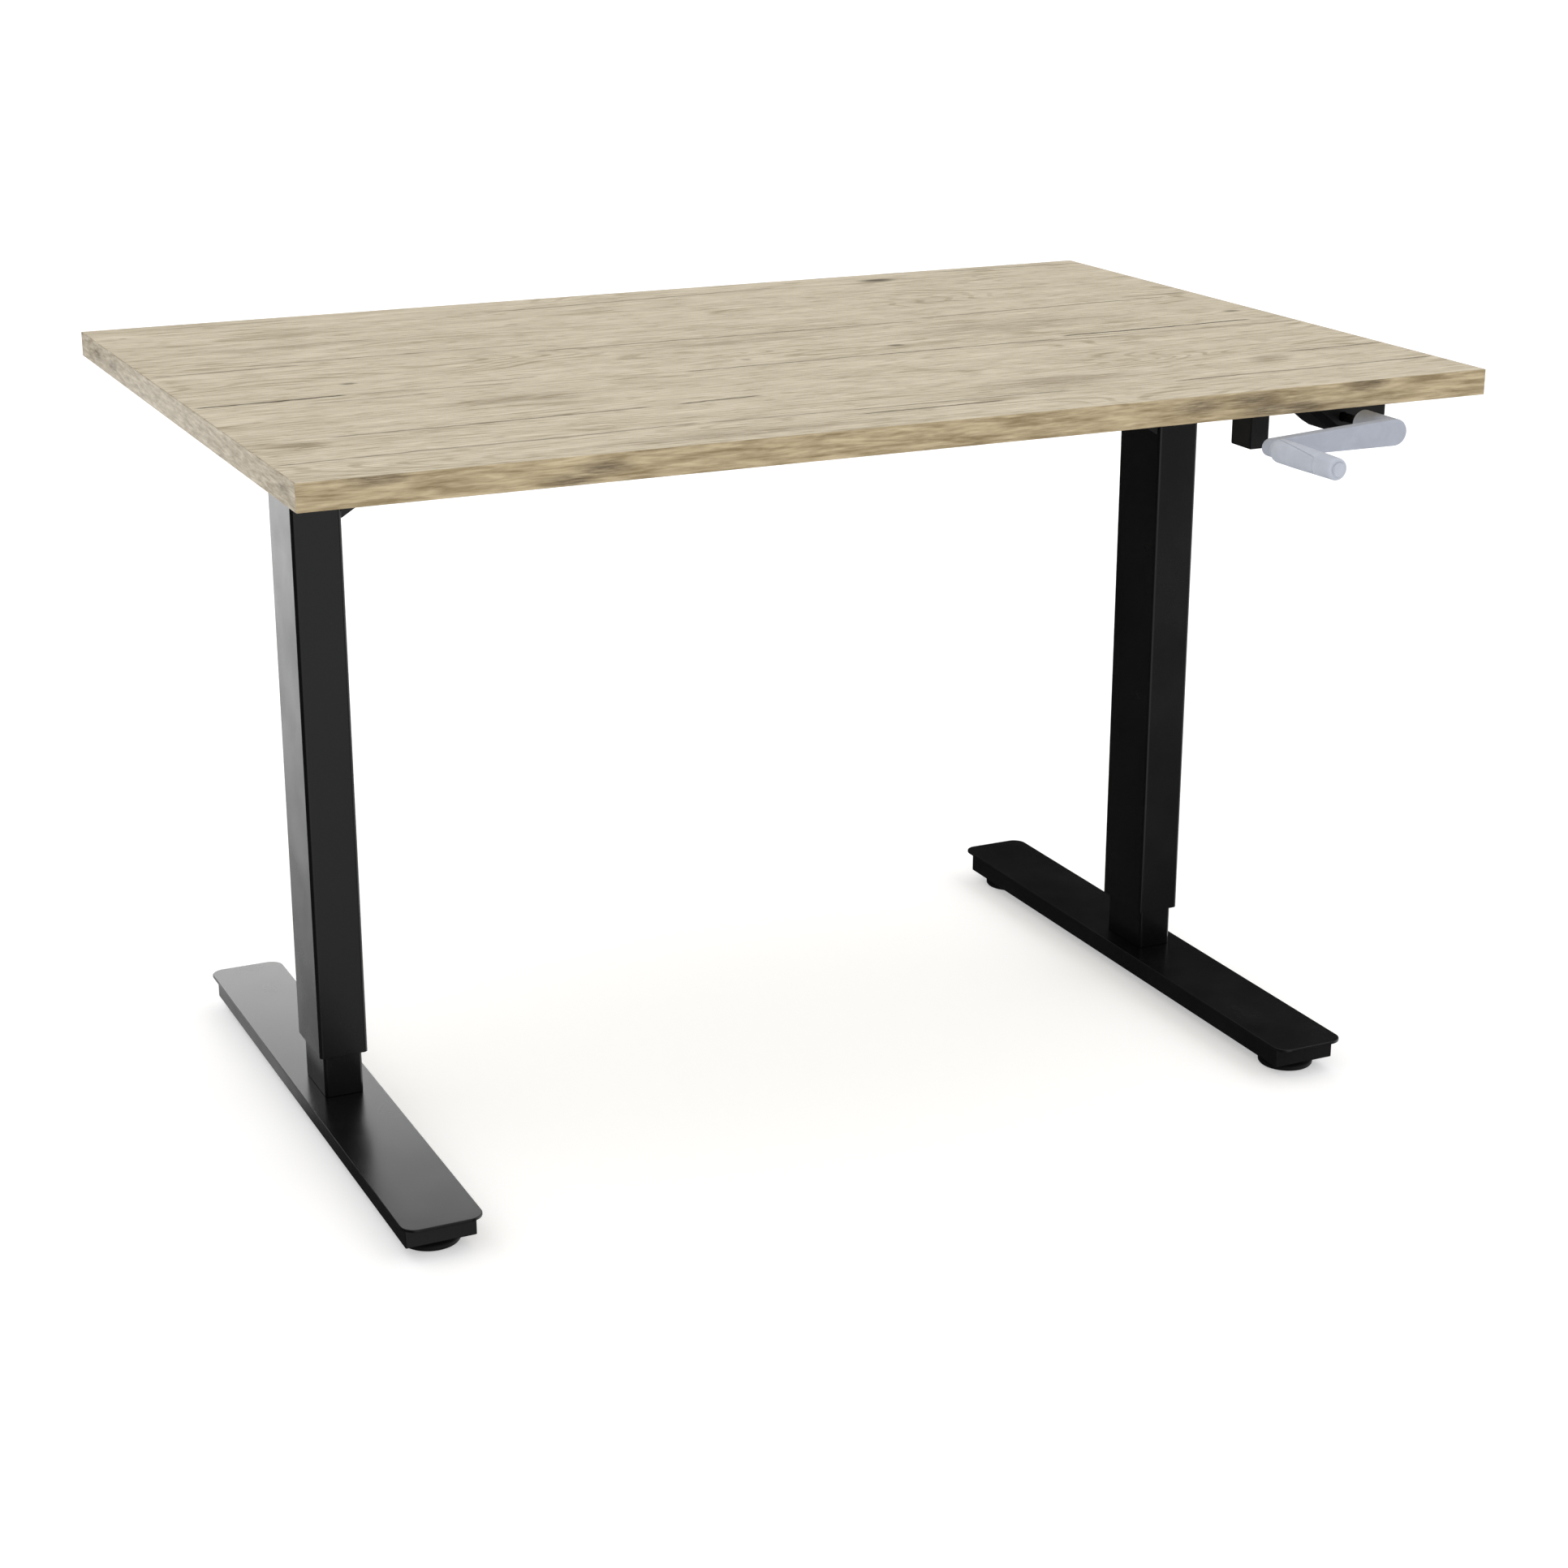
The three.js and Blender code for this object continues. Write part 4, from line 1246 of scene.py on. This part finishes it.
@dataclass
class Crank:
    """The hand crank: arm with hub, turning grip, housing and rest."""

    hub: Flat = (481.5, 707.0)
    end: Flat = (343.5, 703.5)
    hub_radius: float = 13.0
    end_radius: float = 8.5
    arm: Flat = (-421.0, -408.0)
    hub_back: float = -368.0
    tongue: float = 5.0
    edge: float = 2.4
    steps: int = 40
    sides: int = 220
    rings: int = 330
    seam_start: float = 6.5
    seam_end: float = 73.0
    seam_corner: float = 4.0
    seam_reach: float = 0.55
    seam_depth: float = 0.7
    panel_angles: Flat = (80.0, 42.0)  # half of the finger panel's angle near the arm and far out
    panel_taper: float = 70.0

    def build(self) -> None:
        """Makes the moulded pieces and dresses the steel ones."""
        self._arm()
        self._grip()
        for node, width in (("crank_housing", 1.0), ("crank_rest", 1.6)):
            piece = softened(f"{node}_piece", node, width)
            fit(piece, "lifting_frame", "black_plastic", BLACK_NYLON, node)
        dress_nodes(BRASS, "crank_bush")
        dress_nodes(BLACK_OXIDE, "crank_shaft")
        dress_nodes(ZINC, "grip_pin", "crank_drive_tube")

    def _arc(self, centre: Flat, radius: float, start: float, sweep: float) -> list[Flat]:
        """Divides an arc.

        Args:
            centre: its centre.
            radius: its radius.
            start: the angle that it starts at.
            sweep: the angle that it covers.

        Returns:
            Its points.
        """
        turns = [start + sweep * i / self.steps for i in range(self.steps + 1)]
        x, z = centre
        return [(x + radius * math.cos(turn), z + radius * math.sin(turn)) for turn in turns]

    def _link(self, inset: float) -> list[Flat]:
        """Outlines the arm: a round end about each centre, joined by tangents.

        Args:
            inset: how far in the outline lies.

        Returns:
            Its points.
        """
        reach = (self.end[0] - self.hub[0], self.end[1] - self.hub[1])
        along = math.atan2(reach[1], reach[0])
        lean = math.acos((self.hub_radius - self.end_radius) / math.hypot(*reach))
        hub = self._arc(self.hub, self.hub_radius - inset, along + lean, math.tau - 2 * lean)
        return hub + self._arc(self.end, self.end_radius - inset, along - lean, 2 * lean)

    def _half_disc(self, inset: float) -> list[Flat]:
        """Outlines the upper half of the hub's end.

        Args:
            inset: how far in the outline lies.

        Returns:
            Its points.
        """
        radius = self.hub_radius - inset
        base = math.asin(inset / radius)
        return self._arc(self.hub, radius, base, math.pi - 2 * base)

    def _arm(self) -> None:
        """Makes the arm, its hub and the half that reaches further back."""
        arm = drawn(self._link, Axis.Y, *self.arm, self.edge)
        step = self.hub_back - self.tongue
        radius, back = self.hub_radius, self.arm[1]
        profile = [(radius - 1.5, back - 2.0), (radius, back - 1.5)]
        profile += [(radius, step - 0.5), (radius - 0.5, step)]
        hub = turned(profile, Axis.Y, (self.hub[0], 0.0, self.hub[1]))
        half = drawn(self._half_disc, Axis.Y, step - 0.4, self.hub_back, 0.3)
        mesh = mesh_of("arm", *merged(arm, hub, half))
        fit(settled("crank_arm_piece", mesh), "crank", "grey_plastic", GREY_NYLON, "crank_arm")

    def _seam(self, out: float, turn: float, radius: float) -> float:
        """Measures how deep the finger panels' seam cuts at one place on the grip.

        Args:
            out: the distance from the arm.
            turn: the angle round the grip.
            radius: the grip's radius there.

        Returns:
            The seam's depth.
        """
        if out < self.seam_start or out > self.seam_end + 2:
            return 0.0
        near, far = self.panel_angles
        half_angle = math.radians(near - (near - far) * min(out / self.panel_taper, 1.0))
        aside = abs(math.remainder(turn, math.pi))
        corner = self.seam_corner
        across = aside * radius - (half_angle * radius - corner)
        along = out - (self.seam_end - corner)
        outside = math.hypot(max(across, 0.0), max(along, 0.0))
        away = outside + min(max(across, along), 0.0) - corner
        return self.seam_depth * max(0.0, 1 - (away / self.seam_reach) ** 2)

    def _grip(self) -> None:
        """Makes the turning grip with the seam of its finger panels."""
        x, z = self.end
        start, end = GRIP_NEAR[-1], GRIP_FAR[0]
        body = [start + (end - start) * i / self.rings for i in range(1, self.rings)]
        loops = [*GRIP_NEAR, *body, *GRIP_FAR]
        points = []
        for out in loops:
            radius = profile_radius(GRIP_PROFILE, out)
            for i in range(self.sides):
                turn = math.tau * i / self.sides
                reach = radius - self._seam(out, turn, radius)
                place = (x + reach * math.cos(turn), self.arm[0] - out, z + reach * math.sin(turn))
                points.append(place)
        mesh = mesh_of("grip", points, ring_faces(len(loops), self.sides))
        # the grip's paler nylon is painted light from above
        fit(settled("crank_grip_piece", mesh), "grip", "grey_plastic", GRIP_NYLON_PAINTED_LIGHT, "crank_grip")


def profile_radius(profile: Sequence[Flat], along: float) -> float:
    """Reads the radius of a profile between its points.

    Args:
        profile: the place along and the radius of each point.
        along: the place along.

    Returns:
        The radius there.
    """
    for (start, first), (end, last) in zip(profile, profile[1:]):
        if along <= end:
            return first + (last - first) * max(0.0, (along - start) / (end - start))
    return profile[-1][1]


@dataclass
class DriveTrain:
    """The cross shaft and the bevel gears, which keep their own shapes."""

    shaft_edge: float = 0.4
    gears: tuple[str, ...] = (
        *("left_screw_gear", "left_shaft_gear", "right_screw_gear"),
        *("right_shaft_gear", "right_crank_screw_gear", "crank_gear"),
    )

    def build(self) -> None:
        """Rounds the cross shaft and dresses the gears."""
        piece = softened("cross_shaft_piece", "cross_shaft", self.shaft_edge, 2)
        fit(piece, "cross_drive", "zinc_steel", ZINC, "cross_shaft")
        dress_nodes(SCREW_STEEL, *self.gears)


# ---------------------------------------------------------------- repeated hardware


@dataclass
class Seat:
    """Where a piece of hardware sits, and which way it faces."""

    place: Point
    facing: Point


class SeatTree:
    """A Geometry Nodes tree that sets one solid on every seat."""

    name = ""
    sizes: tuple[str, ...] = ()

    def __init__(self) -> None:
        """Builds the tree, with a named input for each size."""
        tree = bpy.data.node_groups.new(self.name, "GeometryNodeTree")
        kinds = {"Seats": "Geometry", **dict.fromkeys(self.sizes, "Float"), "Finish": "Material"}
        self.keys = []
        for label, kind in kinds.items():
            kind = f"NodeSocket{kind}"
            socket = tree.interface.new_socket(label, in_out="INPUT", socket_type=kind)
            self.keys.append(socket.identifier)
        tree.interface.new_socket("Pieces", in_out="OUTPUT", socket_type="NodeSocketGeometry")
        given = tree.nodes.new("NodeGroupInput").outputs
        vector = {"data_type": "FLOAT_VECTOR"}
        facing = add_node(tree, "GeometryNodeInputNamedAttribute", vector, {"Name": "facing"})
        aim = {"Vector": facing.outputs["Attribute"]}
        turn = add_node(tree, "FunctionNodeAlignRotationToVector", {"axis": "Z"}, aim).outputs[0]
        spread = {"Points": given["Seats"], "Instance": self.solid(tree, given), "Rotation": turn}
        pieces = add_node(tree, "GeometryNodeInstanceOnPoints", inputs=spread).outputs[0]
        real = add_node(tree, "GeometryNodeRealizeInstances", inputs={0: pieces}).outputs[0]
        dressed = {"Geometry": real, "Material": given["Finish"]}
        done = add_node(tree, "GeometryNodeSetMaterial", inputs=dressed).outputs[0]
        add_node(tree, "NodeGroupOutput", inputs={0: done})
        self.tree = tree

    def solid(self, tree: Tree, given: bpy.types.NodeOutputs) -> Socket:
        """Adds the nodes that make the solid.

        Args:
            tree: the tree.
            given: its inputs.

        Returns:
            The solid.
        """
        raise NotImplementedError

    def place(self, name: str, body: str, seats: Sequence[Seat], *sizes: float) -> None:
        """Makes one piece of the solids on all seats of one body.

        Args:
            name: the piece's name.
            body: the CAD body.
            seats: where they sit.
            *sizes: the tree's sizes, with lengths in metres.
        """
        mesh = bpy.data.meshes.new(name)
        points = [(s.place[0] * MM, s.place[1] * MM + DESK_Y, s.place[2] * MM) for s in seats]
        mesh.from_pydata(points, [], [])
        facing = mesh.attributes.new("facing", "FLOAT_VECTOR", "POINT")
        for item, seat in zip(facing.data, seats):
            item.vector = seat.facing
        obj = link_object(name + "_seats", mesh)
        modifier = obj.modifiers.new(self.name, "NODES")
        modifier.node_group = self.tree
        for key, value in zip(self.keys[1:], (*sizes, ZINC.make())):
            modifier[key] = value
        plain = evaluated_mesh(obj)
        plain.name = name
        reworked(plain, face_outwards)
        fit(link_object(name, plain), body, "zinc_steel", ZINC)


class ButtonHeads(SeatTree):
    """Button heads with a hexagon socket."""

    name = "Button heads"
    sizes = ("Head radius", "Head height", "Socket radius")
    crown = 0.72  # the top's radius as a share of the head's
    socket = 0.42  # the socket's radius as a share of the head's

    def solid(self, tree: Tree, given: bpy.types.NodeOutputs) -> Socket:
        """Cuts a socket into a low cone.

        Args:
            tree: the tree.
            given: its inputs.

        Returns:
            The head.
        """
        filled = {"fill_type": "NGON"}
        cone = {
            "Vertices": 36,
            "Side Segments": 1,
            "Radius Top": math_node(tree, "MULTIPLY", given["Head radius"], self.crown),
            "Radius Bottom": given["Head radius"],
            "Depth": given["Head height"],
        }
        head = add_node(tree, "GeometryNodeMeshCone", filled, cone).outputs["Mesh"]
        recess = {
            "Vertices": 6,
            "Side Segments": 1,
            "Radius": given["Socket radius"],
            "Depth": given["Head height"],
        }
        hexagon = add_node(tree, "GeometryNodeMeshCylinder", filled, recess).outputs["Mesh"]
        up = add_node(tree, "ShaderNodeCombineXYZ", inputs={"Z": given["Head height"]}).outputs[0]
        moved = {"Geometry": hexagon, "Translation": up}
        hexagon = add_node(tree, "GeometryNodeTransform", inputs=moved).outputs[0]
        cut = {"operation": "DIFFERENCE", "solver": "EXACT"}
        parts = {"Mesh 1": head, "Mesh 2": hexagon}
        return add_node(tree, "GeometryNodeMeshBoolean", cut, parts).outputs["Mesh"]

    def heads(
        self, name: str, body: str, seats: Sequence[Seat], radius: float, height: float
    ) -> None:
        """Makes one piece of all the heads on one body.

        Args:
            name: the piece's name.
            body: the CAD body.
            seats: where the heads sit.
            radius: the head's radius.
            height: the head's height.
        """
        sizes = (radius * MM, height * MM, radius * self.socket * MM)
        self.place(name, body, seats, *sizes)


class StudThreads(SeatTree):
    """Threads wound round a stud."""

    name = "Stud thread"
    sizes = ("Radius", "Length", "Turns", "Ridge radius")

    def solid(self, tree: Tree, given: bpy.types.NodeOutputs) -> Socket:
        """Sweeps a ridge along a helix.

        Args:
            tree: the tree.
            given: its inputs.

        Returns:
            The thread.
        """
        spiral = {
            "Resolution": 24,
            "Rotations": given["Turns"],
            "Start Radius": given["Radius"],
            "End Radius": given["Radius"],
            "Height": given["Length"],
        }
        helix = add_node(tree, "GeometryNodeCurveSpiral", inputs=spiral).outputs[0]
        ridge = {"Resolution": 4, "Radius": given["Ridge radius"]}
        profile = add_node(tree, "GeometryNodeCurvePrimitiveCircle", inputs=ridge).outputs[0]
        swept = {"Curve": helix, "Profile Curve": profile, "Fill Caps": True}
        return add_node(tree, "GeometryNodeCurveToMesh", inputs=swept).outputs[0]


@dataclass
class Hardware:
    """The screws and bolts that hold the frame, and the threads of the levelling feet."""

    column_x: float = 481.5
    tab_x: float = 453.7
    sheet_z: float = 728.2
    web_z: float = 31.2
    leveller_y: float = 301.0
    thread_z: float = 10.6
    thread_radius: float = 3.55
    thread_length: float = 17.0
    pitch: float = 1.25
    ridge: float = 0.42

    def build(self) -> None:
        """Makes all the hardware, one piece for each body and size."""
        tree = ButtonHeads()
        tree.heads("rail_bolts", "lifting_frame", list(self._rail_bolts()), 5.5, 3.2)
        tree.heads("board_screws", "lifting_frame", list(self._board_screws()), 4.2, 2.2)
        for side in Side:
            x = side.sign * self.column_x
            grid = [(x + dx, y, self.web_z) for dx in (-10, 10) for y in (-22, 22)]
            seats = [Seat(place, (0, 0, -1)) for place in grid]
            tree.heads(f"{side.label}_foot_bolts", f"{side.label}_leg", seats, 6.0, 3.8)
        threads = StudThreads()
        turns = self.thread_length / self.pitch
        sizes = (self.thread_radius * MM, self.thread_length * MM, turns, self.ridge * MM)
        for side in Side:
            for end, sign in (("front", -1), ("back", 1)):
                name = f"{end}_{side.label}"
                place = (side.sign * self.column_x, sign * self.leveller_y, self.thread_z)
                seats = [Seat(place, (0, 0, 1))]
                threads.place(f"{name}_stud_thread", f"{name}_foot", seats, *sizes)

    def _rail_bolts(self) -> Iterable[Seat]:
        """Places two bolts through each tab of each rail.

        Yields:
            Their seats.
        """
        for side in Side:
            for y in (-26, 26):
                for z in (655, 705):
                    yield Seat((side.sign * self.tab_x, y, z), (-side.sign, 0, 0))

    def _board_screws(self) -> Iterable[Seat]:
        """Places wood screws up into the desktop, and one into the crank's housing.

        Yields:
            Their seats.
        """
        places = [(x, y) for x in (-300, -100, 100, 300) for y in (-24.5, 24.5)]
        places += [(side.sign * self.column_x, y) for side in Side for y in (-200, -110, 120, 230)]
        for x, y in places:
            yield Seat((x, y, self.sheet_z), (0, 0, -1))
        yield Seat((508, -303, 689.5), (0, 0, -1))


# ---------------------------------------------------------------- studio


@dataclass(frozen=True)
class Bank:
    """A stack of light strips that only gloss picks up, in metres in the model's frame."""

    name: str
    place: Flat
    width: float
    heights: Flat
    levels: Flat  # the brightness of its lowest and its highest strip
    target: Flat
    strips: int = 6

    def build(self) -> None:
        """Hangs the strips, whose brightness changes evenly with height."""
        (low, high), (dim, bright) = self.heights, self.levels
        tall = (high - low) / self.strips
        for i in range(self.strips):
            level = dim + (bright - dim) * i / (self.strips - 1)
            lamp = bpy.data.lights.new(f"{self.name}_{i}", "AREA")
            lamp.shape = "RECTANGLE"
            lamp.size, lamp.size_y = self.width, tall
            lamp.energy = level * math.pi * self.width * tall
            lamp.spread = math.radians(70)
            obj = bpy.data.objects.new(lamp.name, lamp)
            bpy.context.scene.collection.objects.link(obj)
            z = low + tall * (i + 0.5)
            obj.location = (*self.place, z)
            aim = Vector((*self.target, z)) - Vector((*self.place, z))
            obj.rotation_euler = aim.to_track_quat("-Z", "Y").to_euler()
            obj.visible_camera = False
            obj.visible_diffuse = False


@dataclass
class Studio:
    """A white floor without an edge in view, soft light all round, and the camera, in metres."""

    floor_size: float = 160.0
    floor_drop: float = 0.0002
    floor_white: float = 0.8
    floor_glow: float = 0.38
    camera_place: Point = (-1.22508, -2.60742, 1.27708)
    camera_tilt: float = 90 - 18.5580
    camera_turn: float = -25.1413
    lens: float = 66.72
    banks: tuple[Bank, ...] = (
        Bank("column_bank", (-0.75, 0.95), 0.3, (-0.4, 0.62), (0.17, 0.46), (-0.51, 0.06)),
        Bank("foot_bank", (-0.25, 0.75), 0.5, (0.06, 0.68), (1.05, 0.32), (-0.48, 0.1)),
    )

    def build(self) -> None:
        """Makes the floor, the light and the camera."""
        self._floor()
        self._sky()
        for bank in self.banks:
            bank.build()
        self._camera()
        bpy.context.scene.view_settings.view_transform = "Standard"

    def _floor(self) -> None:
        """Makes a plain white floor, clear from below, that polished faces don't mirror."""
        half, z = self.floor_size / 2, -self.floor_drop
        corners = [(-half, -half, z), (half, -half, z), (half, half, z), (-half, half, z)]
        mesh = bpy.data.meshes.new("floor")
        mesh.from_pydata(corners, [], [[0, 1, 2, 3]])
        material = bpy.data.materials.new("White studio floor")
        material.use_nodes = True
        tree = material.node_tree
        shader = tree.nodes["Principled BSDF"]
        settings = {
            "Base Color": (self.floor_white, self.floor_white, self.floor_white, 1),
            "Roughness": 0.9,
            "Specular IOR Level": 0.1,
            "Emission Color": (1, 1, 1, 1),
            "Emission Strength": self.floor_glow,
        }
        for key, value in settings.items():
            shader.inputs[key].default_value = value
        under = add_node(tree, "ShaderNodeNewGeometry").outputs["Backfacing"]
        clear = add_node(tree, "ShaderNodeBsdfTransparent").outputs[0]
        parts = {0: under, 1: shader.outputs[0], 2: clear}
        mixed = add_node(tree, "ShaderNodeMixShader", inputs=parts).outputs[0]
        tree.links.new(mixed, tree.nodes["Material Output"].inputs["Surface"])
        mesh.materials.append(material)
        floor = link_object("floor", mesh)
        floor.visible_glossy = False
        floor.visible_shadow = False

    def _sky(self) -> None:
        """Gives dull faces even light, and glossy ones light above, in front and at the right."""
        world = bpy.data.worlds.new("Studio")
        bpy.context.scene.world = world
        world.use_nodes = True
        tree = world.node_tree
        tree.nodes.clear()
        direction = add_node(tree, "ShaderNodeTexCoord").outputs["Generated"]
        split = add_node(tree, "ShaderNodeSeparateXYZ", inputs={0: direction}).outputs
        above = remap(tree, split["Z"], (0.5, 0.75), (0.0, 1.0), smooth=True)
        front = remap(tree, split["Y"], (-0.74, -0.95), (0.03, 0.8), smooth=True)
        right = remap(tree, split["X"], (0.62, 0.85), (0.0, 1.3), smooth=True)
        mirrored = math_node(tree, "MAXIMUM", above, math_node(tree, "MAXIMUM", front, right))
        path = add_node(tree, "ShaderNodeLightPath").outputs
        soft = remap(tree, split["Z"], (0.0, 1.0), (0.5, 1.35))
        dull = math_node(tree, "MAXIMUM", soft, path["Is Camera Ray"])
        choice = {0: path["Is Glossy Ray"], 2: dull, 3: mirrored}
        level = add_node(tree, "ShaderNodeMix", {"data_type": "FLOAT"}, choice).outputs[0]
        light = {"Color": (1, 1, 1, 1), "Strength": level}
        sky = add_node(tree, "ShaderNodeBackground", inputs=light)
        add_node(tree, "ShaderNodeOutputWorld", inputs={"Surface": sky.outputs[0]})

    def _camera(self) -> None:
        """Sets the camera."""
        camera = bpy.data.cameras.new("camera")
        camera.lens = self.lens
        camera.sensor_width = 36.0
        camera.clip_end = 500.0
        camera.dof.use_dof = False
        obj = bpy.data.objects.new("camera", camera)
        bpy.context.scene.collection.objects.link(obj)
        obj.location = self.camera_place
        obj.rotation_euler = (math.radians(self.camera_tilt), 0.0, math.radians(self.camera_turn))
        bpy.context.scene.camera = obj


def main() -> None:
    """Builds the desk from the floor up, then the studio."""
    logging.basicConfig(level=logging.INFO, format="%(name)s %(message)s")
    for side in Side:
        Foot(side).build()
        Column(side).build()
    for assembly in (UnderFrame(), DesktopBoard(), Crank(), DriveTrain(), Hardware(), Studio()):
        assembly.build()


if __name__ == "__main__":
    main()
